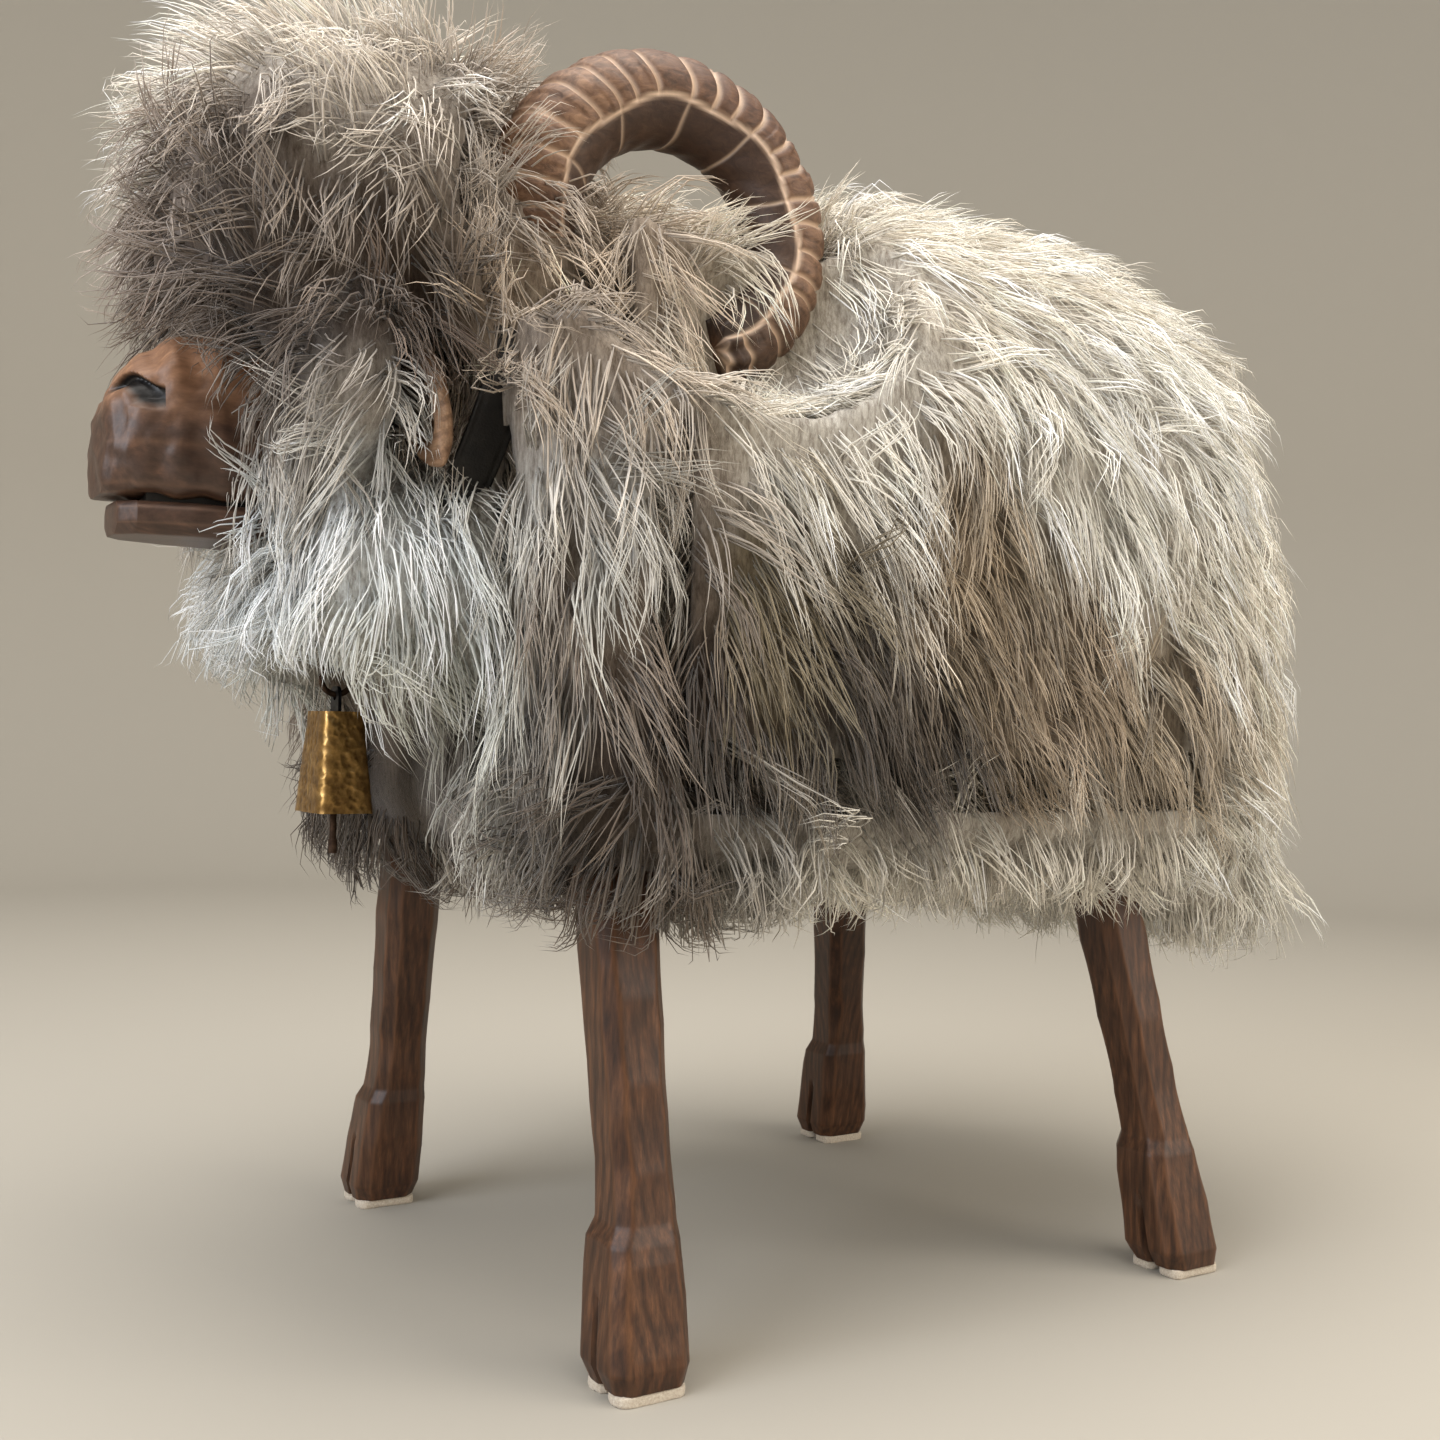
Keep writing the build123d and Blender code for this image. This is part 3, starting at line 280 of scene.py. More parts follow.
def carved_leg(node, half, hoof_y, run_in, run_back, seed):
    low, high = (np.array(v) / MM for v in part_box(node))
    side = 1.0 if low[0] + high[0] > 0 else -1.0
    rng = np.random.default_rng(seed)
    z = np.concatenate([np.linspace(low[2], 80, 60), np.linspace(82, high[2], leg_rows - 60)])
    wide, ahead, behind = (between(z, leg_outline, k) for k in (1, 2, 3))
    theta = np.linspace(0, 2 * pi, leg_across, endpoint=False)
    aim = np.stack([np.cos(theta), np.sin(theta)], 1)
    reach = np.zeros((len(z), 8))
    for k in range(8):
        x, y = leg_planes[k]
        face = behind if y > 0.1 else ahead
        flat = {0: wide, 2: behind, 4: wide, 6: ahead}.get(k, (wide + face - leg_chamfer) / np.sqrt(2))
        length = rng.uniform(34, 70)
        stroke = (z / length + rng.uniform()) % 1.0
        depth = stroke_depth * rng.uniform(0.5, 1.2)
        reach[:, k] = flat - depth * (1 - (2 * stroke - 1) ** 2) + rng.normal(0, 0.12)
    facing = np.maximum(aim @ leg_planes.T, 1e-3)                       # columns by planes
    share = facing[None] / reach[:, None, :]
    radius = 1 / (share ** 40).sum(-1) ** (1 / 40)
    ranked = np.sort(share, -1)
    worn = np.clip((ranked[..., -2] / ranked[..., -1] - 0.93) / 0.06, 0, 1) ** 2 * 0.35
    x, y = radius * aim[None, :, 0], radius * aim[None, :, 1]
    fade = np.clip((cleft_top - z) / 14, 0, 1)[:, None]
    split = np.clip(1 - (np.abs(x) / cleft_wide) ** 1.5, 0, 1) * (y < 0) * fade
    y = y + cleft_deep * split
    inner = np.clip(1 - np.abs(z - step_z) / 5, 0, 1)[:, None] * (y < 0)
    worn = np.maximum(worn - split, 0) * np.clip(np.abs(z - step_z) / step_fade, 0, 1)[:, None]
    points = np.stack([side * (half - run_in * z)[:, None] + x, (hoof_y + run_back * z)[:, None] + y,
                       np.broadcast_to(z[:, None], x.shape)], -1)
    points, faces = capped(points * MM)
    # deep: painted shade, near black in the hoof's cleft and light along the front of the hoof's step
    deep = np.clip(split * 0.9 + inner * 0.15, 0, 1)
    ends = [0.0, 0.0]                            # the middles of the two end caps carry no mark
    return points, faces, np.append(worn.ravel(), ends), np.append(deep.ravel(), ends)

leg_stance = {"front": (167, -146, 0.167, 0.0), "rear": (166, 203, 0.182, -0.128)}
legs = []
for number, node in enumerate(("front_left_leg", "front_right_leg", "rear_left_leg", "rear_right_leg")):
    points, faces, worn, deep = carved_leg(node, *leg_stance[node.split("_")[0]], 11 + number)
    legs.append(piece("carved_" + node, points, faces, leg_wood, sharp=32, slot="stained_pine",
                      replaces=[node], worn=worn, deep=deep))
print("legs", [triangles(leg) for leg in legs], "triangles")

# %% [markdown]
# Under each hoof two pads of pressed felt keep the wood off the floor. Felt is cut from sheet,
# so its rim is soft and a little fibrous: each pad is its CAD outline, rounded and ruffled.
# %% Felt pads
def felt_finish():
    """Pressed wool felt: matt, cream, faintly mottled, with a fuzz of fine fibres."""
    material, tree, shader = finish_named("pressed_wool_felt", Roughness=0.95, Sheen_Weight=0.35,
                                          Specular_IOR_Level=0.15)
    fibre = add(tree, "ShaderNodeTexNoise", {"Vector": place(tree)}, Scale=900.0, Detail=4.0, Roughness=0.7)
    colour = ramp(tree, fibre.outputs["Fac"], (0.3, "#bfae9a"), (0.7, "#e6dccb"))
    tree.links.new(colour, shader.inputs["Base Color"])
    bump(tree, shader, fibre.outputs["Fac"], 0.6 * MM, 0.7)
    return material

def cad_arrays(node):
    """A CAD node's points and triangles as arrays, in metres."""
    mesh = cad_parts[node].data
    mesh.calc_loop_triangles()
    points = np.empty(len(mesh.vertices) * 3, np.float32)
    mesh.vertices.foreach_get("co", points)
    corners = np.empty(len(mesh.loop_triangles) * 3, np.int32)
    mesh.loop_triangles.foreach_get("vertices", corners)
    return points.reshape(-1, 3).astype(float), corners.reshape(-1, 3)

def remade(points, corners, *steps):
    """Runs modifiers (kind, settings) over a scratch mesh and returns its points and faces."""
    mesh = bpy.data.meshes.new("scratch")
    mesh.from_pydata(points.tolist(), [], corners.tolist())
    scratch = bpy.data.objects.new("scratch", mesh)
    bpy.context.scene.collection.objects.link(scratch)
    for number, (kind, settings) in enumerate(steps):
        modifier = scratch.modifiers.new(str(number), kind)
        for key, value in settings.items():
            setattr(modifier, key, value)
    done = scratch.evaluated_get(bpy.context.evaluated_depsgraph_get()).to_mesh()
    made = np.empty(len(done.vertices) * 3, np.float32)
    done.vertices.foreach_get("co", made)
    quads = np.array([tuple(p.vertices) for p in done.polygons if len(p.vertices) == 4])
    threes = np.array([tuple(p.vertices) for p in done.polygons if len(p.vertices) == 3])
    scratch.evaluated_get(bpy.context.evaluated_depsgraph_get()).to_mesh_clear()
    bpy.data.objects.remove(scratch)
    return made.reshape(-1, 3).astype(float), [f for f in (quads, threes) if len(f)]

felt = felt_finish()
for node in [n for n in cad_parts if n.endswith("_felts")]:
    points, faces = remade(*cad_arrays(node), ("REMESH", dict(mode="VOXEL", voxel_size=0.9 * MM)),
                           ("SMOOTH", dict(factor=0.5, iterations=3)))
    points += waves(points, 3.0, 3) * 0.12 * MM
    points[:, 2] = np.maximum(points[:, 2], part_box(node)[0].z)
    pads = piece("pressed_" + node, points, faces, felt, slot="felt", replaces=[node])
print("felt pads", triangles(pads), "triangles each")

# %% [markdown]
# The horns are carved from thick limewood in one turn. The outer band is cut into plates with
# a narrow gouge, and the gouge goes through the stain to cream wood. A second cut runs along
# the inner third, and the band inside it stays smooth and dark.
# %% Horns
horn_rows, horn_across, horn_plates = 450, 88, 23
horn_turn, horn_ridge = (195.0, -75.0), 1.78      # degrees round the turn; where the inner cut runs
horn_middle, horn_circle = (-106, 551), 65        # y and z of the turn's middle, and its radius

def horn_size(t):
    """Radius of the horn and distance from the middle plane, at a share t of its length."""
    return 25 - 6 * t ** 2.2, 70 + 44 * t

def carved_horn(side, seed):
    """A ring of points carried round a circle; the ring's radius is the horn's, raised on each
    plate by a flat hump and lowered where a cut runs."""
    rng = np.random.default_rng(seed)
    t = np.linspace(0, 1, horn_rows)[:, None]
    turn = np.radians(horn_turn[0] + (horn_turn[1] - horn_turn[0]) * t)
    round_it = np.linspace(-pi, pi, horn_across, endpoint=False)[None, :]
    thick, out = horn_size(t)
    reach = horn_circle + thick * np.cos(round_it)
    plate_long = reach * radians(270) / horn_plates
    wobble = 0.10 * np.sin(2.2 * round_it + 1.3) + 0.05 * np.sin(5 * round_it + 9 * t)
    wobble = wobble + 0.10 * np.sin(23 * t)
    along = horn_plates * t + wobble
    number = np.round(along).astype(int)
    cut_at = rng.uniform(-0.16, 0.16, horn_plates + 3)[number % (horn_plates + 3)]
    gap = np.abs(along - number - cut_at) * plate_long
    forked = rng.uniform(size=horn_plates + 3)[number % (horn_plates + 3)] > 0.62
    fork = np.abs(along - number - cut_at - 0.34 * np.clip(1 - np.abs(round_it) / 1.1, 0, 1)) * plate_long
    gap = np.where(forked, np.minimum(gap, fork + 0.3), gap)
    away = (np.abs(round_it) - horn_ridge - 0.07 * np.sin(31 * t)) * thick
    outer = np.clip(-away / 3 + 0.2, 0, 1)
    inside = np.clip(away / 3, 0, 1)
    cut = np.exp(-(gap / 1.1) ** 2) * outer
    seldom = np.exp(-(gap / 0.8) ** 2) * inside * (number % 3 == 0) * 0.8
    ridge = np.exp(-(away / 1.2) ** 2)
    hump = 1 - np.clip(1 - gap / (0.5 * plate_long), 0, 1) ** 3
    face = 0.55 * np.sin(9.1 * number) * np.cos(round_it * 2 + number)
    radius = thick * 0.985 + outer * (1.5 * hump - 0.6 + face) - 1.5 * cut - 1.3 * ridge - 0.9 * seldom
    radius = radius - inside * (0.6 + 0.5 * np.sin(43 * t + 3 * round_it) ** 2)
    ragged = np.clip((t - 0.93) / 0.07, 0, 1)
    chips = np.sin(3 * round_it + 1) * np.sin(7 * round_it + 40 * t) + 0.6 * np.sin(11 * round_it)
    radius = radius * (1 - 0.22 * ragged ** 3) - 1.6 * ragged * chips
    far = horn_circle + radius * np.cos(round_it)
    points = np.stack([side * (out + radius * np.sin(round_it)), horn_middle[0] + far * np.cos(turn),
                       horn_middle[1] + far * np.sin(turn)], -1)
    points, faces = capped(points * MM)
    cream = np.clip(np.maximum(np.maximum(cut, seldom * 0.7), ridge), 0, 1)
    dark_tip = 0.75 * np.clip((t - 0.8) / 0.2, 0, 1)
    tone = np.sin(number * 12.9898) * 0.5 + 0.5             # a different number for each plate
    marks = [np.append(np.broadcast_to(a, radius.shape).ravel(), [0.0, 0.0])
             for a in (cream, inside, dark_tip, tone)]
    return points, faces, marks

def horn_finish():
    """Limewood under walnut stain: amber plates, near-black inner band, cream cuts."""
    material, tree, shader = finish_named("carved_horn_limewood", Roughness=0.52, Specular_IOR_Level=0.4)
    mark = {name: add(tree, "ShaderNodeAttribute", attribute_name=name).outputs["Fac"]
            for name in ("plate", "inside", "tip", "cream")}
    grain = add(tree, "ShaderNodeTexNoise", {"Vector": place(tree, (1, 0.5, 1))}, Scale=210.0, Detail=6.0,
                Roughness=0.7, Distortion=0.6)
    colour = ramp(tree, grain.outputs["Fac"], (0.3, "#46301f"), (0.5, "#735540"), (0.7, "#97755a"))
    plates = ramp(tree, mark["plate"], (0.0, "#a89080"), (1.0, "#ffffff"))
    colour = blend(tree, 0.7, colour, plates, "MULTIPLY")
    colour = blend(tree, mark["inside"], colour, blend(tree, 0.72, colour, "#2c1e18"))
    colour = blend(tree, mark["tip"], colour, "#241710")
    colour = blend(tree, mark["cream"], colour, "#e0c4ab")
    tree.links.new(colour, shader.inputs["Base Color"])
    bump(tree, shader, grain.outputs["Fac"], 0.7 * MM, 0.6)
    return material

horn_wood = horn_finish()
for side, node in ((1, "left_horn"), (-1, "right_horn")):
    points, faces, (cream, inside, tip, plate) = carved_horn(side, 5)
    horn = piece("carved_" + node, points, faces, horn_wood, slot="carved_horn_wood", replaces=[node],
                 cream=cream, inside=inside, tip=tip, plate=plate)
print("horns", triangles(horn), "triangles each")

# %% [markdown]
# The muzzle is one carved block: a faceted dome with a flat front, two crescent nostrils and
# a saw-cut mouth over a narrower lower jaw. Each cross section is the nearest of the planes
# through its corners, so the knife's flats stay flat and their edges are only just softened.
# %% Muzzle
# y, half widths at lip, cheek, brow and top, heights of brow and top, in mm
muzzle_outline = [(-358, 15, 19, 13, 5, 437, 441), (-355.5, 20, 24, 18, 7, 444, 450),
                  (-350, 25, 29, 23, 9, 451, 460),
                  (-341, 29.5, 33.5, 27, 11, 457.5, 470), (-328, 32, 36.5, 30, 13, 463, 478),
                  (-309, 34, 39, 32, 15, 467, 484), (-286, 36, 41, 34, 17, 469, 487)]
jaw_outline = [(-351, 15), (-344, 24), (-320, 31), (-286, 34)]         # y and half width
lip_z, cheek_z, jaw_z, jaw_top_z, muzzle_across = 401.0, 424.0, 383.0, 398.5, 288

def flats(corners, middle, theta, crisp=34):
    """Reach from middle at each angle: the nearest of the planes through neighbouring corners.
    corners is stations by corners by (x, z), counted the way the angle runs."""
    edge = np.roll(corners, -1, 1) - corners
    out = np.stack([edge[..., 1], -edge[..., 0]], -1)
    out /= np.linalg.norm(out, axis=-1, keepdims=True)
    reach = ((corners - middle) * out).sum(-1)
    aim = np.stack([np.cos(theta), np.sin(theta)], 1)
    share = np.maximum(np.einsum("skj,tj->stk", out, aim), 1e-4) / np.maximum(reach[:, None, :], 0.5)
    ranked = np.sort(share, -1)
    edge_near = np.clip((ranked[..., -2] / ranked[..., -1] - 0.965) / 0.03, 0, 1)
    return 1 / (share ** crisp).sum(-1) ** (1 / crisp), edge_near

def mirrored(half):
    """Corners on the left side, low to high, with their mirror images, counted anticlockwise."""
    return np.concatenate([half, half[:, ::-1] * [-1, 1]], 1)

def dome(station_y, corners, middle_z, nose_rings=14):
    """Sections along y, closed in front by rings that shrink over a slightly crowned flat."""
    theta = np.linspace(0, 2 * pi, muzzle_across, endpoint=False)
    reach, edge = flats(corners, np.array([0.0, middle_z]), theta)
    shrink = np.linspace(0.04, 1, nose_rings, endpoint=False)[:, None]
    front_y = station_y[0] - 0.9 * (1 - shrink ** 4)
    reach = np.concatenate([reach[:1] * shrink, reach])
    edge = np.concatenate([edge[:1] * shrink ** 6, edge])
    y = np.concatenate([np.broadcast_to(front_y, (nose_rings, muzzle_across)),
                        np.broadcast_to(station_y[:, None], (len(station_y), muzzle_across))])
    return np.stack([reach * np.cos(theta), y, middle_z + reach * np.sin(theta)], -1), edge

def carved_muzzle():
    y = np.concatenate([np.linspace(-358, -349, 22), np.linspace(-348, -286, 60)])
    lip, cheek, brow, top, brow_z, top_z = (between(y, muzzle_outline, k) for k in range(1, 7))
    same = np.ones_like(y)
    half = np.stack([np.stack([lip - 5, lip_z * same], -1), np.stack([lip, (lip_z + 4) * same], -1),
                     np.stack([cheek, cheek_z * same], -1), np.stack([brow, brow_z], -1),
                     np.stack([top, top_z], -1)], 1)
    rings, edge = dome(y, mirrored(half), 436.0)
    # a nostril is a crescent: the part of a circle's rim that faces up and out; it is pushed in and painted near black
    # as painted shade
    deep = np.zeros(edge.shape)
    for side in (1, -1):
        hub = np.array([side * 17.0, -350.0, 443.0])
        away = rings - hub
        flat = np.hypot(away[..., 0] * 0.9, away[..., 2])
        angle = np.arctan2(away[..., 2], away[..., 0] * side)
        rim = np.exp(-((flat - 10.5) / 3.2) ** 4)
        rim = rim * np.clip((angle + 0.25) / 0.5, 0, 1) * np.clip((2.75 - angle) / 0.5, 0, 1)
        deep = np.maximum(deep, rim * (rings[..., 1] < -335) * (rings[..., 0] * side > 0))
    rings[..., 1] += 6.5 * deep
    rings[..., 0] *= 1 - 0.05 * deep
    spoke = rings - np.array([0, -320, 436.0])
    knife = waves(rings * MM, 26, 8)[..., :1] * 0.7 + waves(rings * MM, 9, 9)[..., :1] * 0.28
    rings += spoke / np.linalg.norm(spoke, axis=-1, keepdims=True) * knife
    return rings, edge, np.clip(deep * 1.6, 0, 1)

def carved_jaw():
    y = np.concatenate([np.linspace(-351, -344, 8), np.linspace(-343, -286, 40)])
    half_w = between(y, jaw_outline, 1)
    same = np.ones_like(y)
    half = np.stack([np.stack([half_w - 7, jaw_z * same], -1), np.stack([half_w, (jaw_z + 5) * same], -1),
                     np.stack([half_w, (jaw_top_z - 3) * same], -1),
                     np.stack([half_w - 3, jaw_top_z * same], -1)], 1)
    return dome(y, mirrored(half), 391.0)

rings, edge, deep = carved_muzzle()
jaw_rings, jaw_edge = carved_jaw()
points, faces = capped(rings * MM)
more, more_faces = capped(jaw_rings * MM)
# between the lips, a small block closes the mouth at the back; it is painted near black all over, a dark block standing
# in for the shade inside the mouth
mouth_shade_block = np.array([[x, y, z] for x in (-22, 22) for y in (-340, -284) for z in (396, 404)]) * MM
mouth_shade_block_faces = np.array([[0, 1, 3, 2], [4, 6, 7, 5], [0, 4, 5, 1],
                         [2, 3, 7, 6], [0, 2, 6, 4], [1, 5, 7, 3]])
# dark: the painted-shade mask, near black on the nostrils and on the whole mouth block
dark = np.concatenate([np.append(deep.ravel(), [0, 0]), np.zeros(len(more)), np.ones(8)])
pale = np.concatenate([np.append(edge.ravel() * 0.12, [0, 0]),
                       np.append(jaw_edge.ravel() * 0.15, [0, 0]), np.zeros(8)])
if volume(points, faces) < 0:
    faces = [f[:, ::-1] for f in faces]
if volume(more, more_faces) < 0:
    more_faces = [f[:, ::-1] for f in more_faces]
if volume(mouth_shade_block, [mouth_shade_block_faces]) < 0:
    mouth_shade_block_faces = mouth_shade_block_faces[:, ::-1]
faces = faces + [f + len(points) for f in more_faces] + [mouth_shade_block_faces + len(points) + len(more)]

def muzzle_finish():
    """Limewood, waxed: orange-brown on top as painted light, dark brown down the sides as painted shade, and near-black
    painted shade in the nostrils and the mouth.
    """
    material, tree, shader = finish_named("waxed_limewood", Roughness=0.42, Specular_IOR_Level=0.45)
    grain = add(tree, "ShaderNodeTexNoise", {"Vector": place(tree, (1, 0.16, 0.5))}, Scale=330.0, Detail=5.0,
                Roughness=0.65)
    cloud = add(tree, "ShaderNodeTexNoise", {"Vector": place(tree)}, Scale=45.0, Detail=3.0)
    up = add(tree, "ShaderNodeSeparateXYZ", {"Vector": add(tree, "ShaderNodeTexCoord").outputs["Object"]})
    mixed = add(tree, "ShaderNodeMath", {0: cloud.outputs["Fac"], 2: up.outputs["Z"]}, operation="MULTIPLY_ADD")
    mixed.inputs[1].default_value = 0.03
    # painted light and shade: above about 0.45 to 0.48 m, shifted a little by noise, the lit top colour; below it the
    # shaded side colour
    painted_top_light = add(tree, "ShaderNodeMapRange", {"Value": mixed.outputs[0]}, From_Min=0.448, From_Max=0.476)
    sides = ramp(tree, grain.outputs["Fac"], (0.3, "#38271e"), (0.55, "#503a2e"), (0.75, "#684b3a"))
    top = ramp(tree, grain.outputs["Fac"], (0.3, "#7e5a42"), (0.55, "#9c7255"), (0.75, "#b78b6a"))
    colour = blend(tree, painted_top_light.outputs[0], sides, top)
    # worn pales the facet edges; deep is painted shade, near black in the nostrils and on the mouth block
    for name, paint in (("worn", "#a87d5e"), ("deep", "#0b0706")):
        mark = add(tree, "ShaderNodeAttribute", attribute_name=name).outputs["Fac"]
        colour = blend(tree, mark, colour, paint)
    tree.links.new(colour, shader.inputs["Base Color"])
    bump(tree, shader, grain.outputs["Fac"], 0.4 * MM, 0.5)
    return material

muzzle = piece("carved_muzzle", np.concatenate([points, more, mouth_shade_block]), faces, muzzle_finish(), sharp=30,
               slot="carved_head_wood", replaces=["muzzle"], worn=pale, deep=dark)
print("muzzle", triangles(muzzle), "triangles")

# %% [markdown]
# An ear is a whittled leaf of pale wood, hollowed like a spoon on the side that faces forward.
# %% Ears
ear_root, ear_tip = np.array([40.0, -226.0, 498.7]), np.array([120.0, -233.0, 414.0])
# share of the length, half width, half thickness
ear_outline = [(0, 9, 7.5), (0.18, 10, 8), (0.36, 15, 9), (0.6, 19, 9.5), (0.83, 15, 7.5), (1, 5, 3.5)]

def carved_ear(side):
    """Ovals along a straight line; the front half of each is pushed in where the leaf is wide."""
    mirror = np.array([side, 1, 1])
    root, tip = ear_root * mirror, ear_tip * mirror
    along = (tip - root) / np.linalg.norm(tip - root)
    across = np.cross(along, [0, 1.0, 0])
    across /= np.linalg.norm(across)
    front = np.cross(across, along)
    front *= -np.sign(front[1])
    s = np.concatenate([np.linspace(0, 0.9, 50), 0.9 + 0.1 * np.sin(np.linspace(0, pi / 2, 16))[1:]])
    s = s[:, None]
    theta = np.linspace(0, 2 * pi, 72, endpoint=False)[None, :]
    wide, thick = between(s, ear_outline, 1), between(s, ear_outline, 2)
    end = np.sqrt(np.clip(1 - np.clip((s - 0.88) / 0.12, 0, 1) ** 2, 0.02, 1))
    w, d = wide * end * np.cos(theta), thick * end * np.sin(theta)
    spoon = np.exp(-((s - 0.6) / 0.27) ** 4) * np.clip(1 - (np.cos(theta) / 0.8) ** 2, 0, 1)
    hollow = 10.5 * spoon * (np.sin(theta) > 0)
    d = d - hollow
    rings = root + s[..., None] * (tip - root) + w[..., None] * across + d[..., None] * front
    return rings + waves(rings * MM, 14, 4)[..., :1] * 0.25 * front

for side, node in ((1, "left_ear"), (-1, "right_ear")):
    points, faces = capped(carved_ear(side) * MM)
    ear = piece("carved_" + node, points, faces, ear_wood, slot="carved_head_wood", replaces=[node])
print("ears", triangles(ear), "triangles each")

# %% [markdown]
# The cowbell is sheet brass beaten over a form: a tapered box with round upright corners. Each
# hammer blow leaves a shallow dish with a bright rim, and age fills the dishes with brown.
# %% Bell
bell_rows, bell_across, blow_count = 120, 220, 620
bell_top_half, bell_mouth_half, bell_wall, bell_corner = (16, 11), (22.5, 15), 1.4, 5.0

def box_reach(theta, half, corner):
    """Reach of a rectangle with rounded corners at each angle, from a power sum whose power
    rises as the corner gets smaller."""
    power = 2 + 1.6 * min(half) / corner
    c, s = np.abs(np.cos(theta)) / half[0], np.abs(np.sin(theta)) / half[1]
    return 1 / (c ** power + s ** power) ** (1 / power)

def beaten_bell():
    low, high = (np.array(v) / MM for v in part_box("bell_shell"))
    middle_y = (low[1] + high[1]) / 2
    theta = np.linspace(0, 2 * pi, bell_across, endpoint=False)
    even = np.linspace(0, 1, bell_rows)[:, None]
    top, mouth = (box_reach(theta, h, bell_corner) for h in (bell_top_half, bell_mouth_half))
    outside = top + (mouth - top) * even
    z_out = high[2] + (low[2] - high[2]) * even + 0 * theta
    rng = np.random.default_rng(21)
    blow_a, blow_z = rng.uniform(0, 2 * pi, blow_count), rng.uniform(low[2], high[2], blow_count)
    size, strike = rng.uniform(1.5, 2.9, blow_count), rng.uniform(0.16, 0.42, blow_count)
    dish = np.zeros(outside.shape)
    for k in range(blow_count):                  # one pass for each hammer blow
        gap_a = (theta - blow_a[k] + pi) % (2 * pi) - pi
        near = np.hypot(gap_a * 19, z_out - blow_z[k]) / size[k]
        dish = np.minimum(dish, -strike[k] * np.clip(1 - near ** 2, 0, 1))
    shrink = np.linspace(0.05, 1, 26, endpoint=False)[:, None]
    reach = np.concatenate([top * shrink, outside + dish - 0.1])
    z = np.concatenate([np.full((26, bell_across), high[2] - 0.6), z_out])
    inner = (outside - bell_wall)[::-1]
    z_in = np.minimum(z_out, high[2] - bell_wall)[::-1]
    ceiling = top * 0.9 * shrink[::-5]
    reach = np.concatenate([reach, inner[::6], ceiling])
    z = np.concatenate([z, z_in[::6], np.full(ceiling.shape, high[2] - bell_wall - 0.2)])
    worn = np.zeros(reach.shape)
    worn[26:26 + bell_rows] = -dish / 0.42
    rings = np.stack([reach * np.cos(theta), middle_y + reach * np.sin(theta), z], -1)
    return rings, worn

def brass_finish():
    """Aged brass: a warm yellow metal, brown in the hollows, bright on the high rims."""
    material, tree, shader = finish_named("hammered_aged_brass", Metallic=1.0)
    dish = add(tree, "ShaderNodeAttribute", attribute_name="deep").outputs["Fac"]
    grime = add(tree, "ShaderNodeTexNoise", {"Vector": place(tree)}, Scale=160.0, Detail=6.0, Roughness=0.7)
    metal = ramp(tree, grime.outputs["Fac"], (0.32, "#7d5f38"), (0.55, "#b99258"), (0.75, "#dcbc84"))
    colour = blend(tree, dish, metal, blend(tree, 0.55, metal, "#5b4328"))
    tree.links.new(colour, shader.inputs["Base Color"])
    rough = add(tree, "ShaderNodeMapRange", {"Value": grime.outputs["Fac"]}, To_Min=0.5, To_Max=0.26)
    tree.links.new(rough.outputs[0], shader.inputs["Roughness"])
    bump(tree, shader, grime.outputs["Fac"], 0.35 * MM, 0.5)
    return material

rings, dish = beaten_bell()
points, faces = capped(rings * MM)
bell = piece("hammered_bell", points, faces, brass_finish(), body="bell", sharp=50, slot="hammered_brass",
             replaces=["bell_shell"], deep=np.append(dish.ravel(), [0, 0]))
print("bell", triangles(bell), "triangles")

# %% [markdown]
# The collar is one black leather strap round the neck, leaning forward at the throat. Its
# section is a flat bar with rounded, burnished edges, carried round an oval.
# %% Collar strap
collar_middle, collar_lean = np.array([0.0, -203.0, 434.0]), radians(20)
strap_in, strap_thick, strap_half = (98.0, 103.0), 4.0, 11.0

def strap_rings():
    """Each ring is the bar's section, set square to the oval at that angle."""
    turn = np.linspace(0, 2 * pi, 400, endpoint=False)[:, None]
    phi = np.linspace(0, 2 * pi, 40, endpoint=False)[None, :]
    power = 0.35
    across = np.sign(np.cos(phi)) * np.abs(np.cos(phi)) ** power * (strap_half - 0.1)
    out = np.sign(np.sin(phi)) * np.abs(np.sin(phi)) ** power * (strap_thick / 2 - 0.05) + strap_thick / 2
    crease = 0.5 * np.exp(-((np.abs(across) - 8.2) / 0.7) ** 2) * (np.sin(phi) > 0.3)
    out = out - crease
    up = np.array([0, sin(collar_lean), cos(collar_lean)])
    axis = np.array([0, -cos(collar_lean), sin(collar_lean)])
    right = np.array([1.0, 0, 0])
    spot = np.cos(turn) * strap_in[0], np.sin(turn) * strap_in[1]
    normal = np.stack([np.cos(turn) * strap_in[1], np.sin(turn) * strap_in[0]], -1)
    normal /= np.linalg.norm(normal, axis=-1, keepdims=True)
    a = spot[0][..., None] * right + spot[1][..., None] * up
    n = normal[..., :1] * right + normal[..., 1:] * up
    return collar_middle + a + out[..., None] * n + across[..., None] * axis

def leather_finish():
    """Bridle leather, dyed black and waxed: fine pebbled grain, dull sheen, greyer in soft uneven clouds."""
    material, tree, shader = finish_named("black_bridle_leather", Roughness=0.5, Specular_IOR_Level=0.45)
    pebble = add(tree, "ShaderNodeTexVoronoi", {"Vector": place(tree)}, Scale=900.0)
    cloud = add(tree, "ShaderNodeTexNoise", {"Vector": place(tree)}, Scale=60.0, Detail=4.0)
    colour = ramp(tree, cloud.outputs["Fac"], (0.35, "#0f0f0f"), (0.7, "#2a2724"))
    tree.links.new(colour, shader.inputs["Base Color"])
    bump(tree, shader, pebble.outputs["Distance"], 0.3 * MM, 0.6)
    return material

rings = strap_rings()
rows, across = rings.shape[:2]
loop = grid_faces(rows + 1, across) % (rows * across)
strap = piece("leather_collar", rings.reshape(-1, 3) * MM, [loop], leather_finish(), slot="black_leather",
              replaces=["collar_strap"])
print("collar", triangles(strap), "triangles")

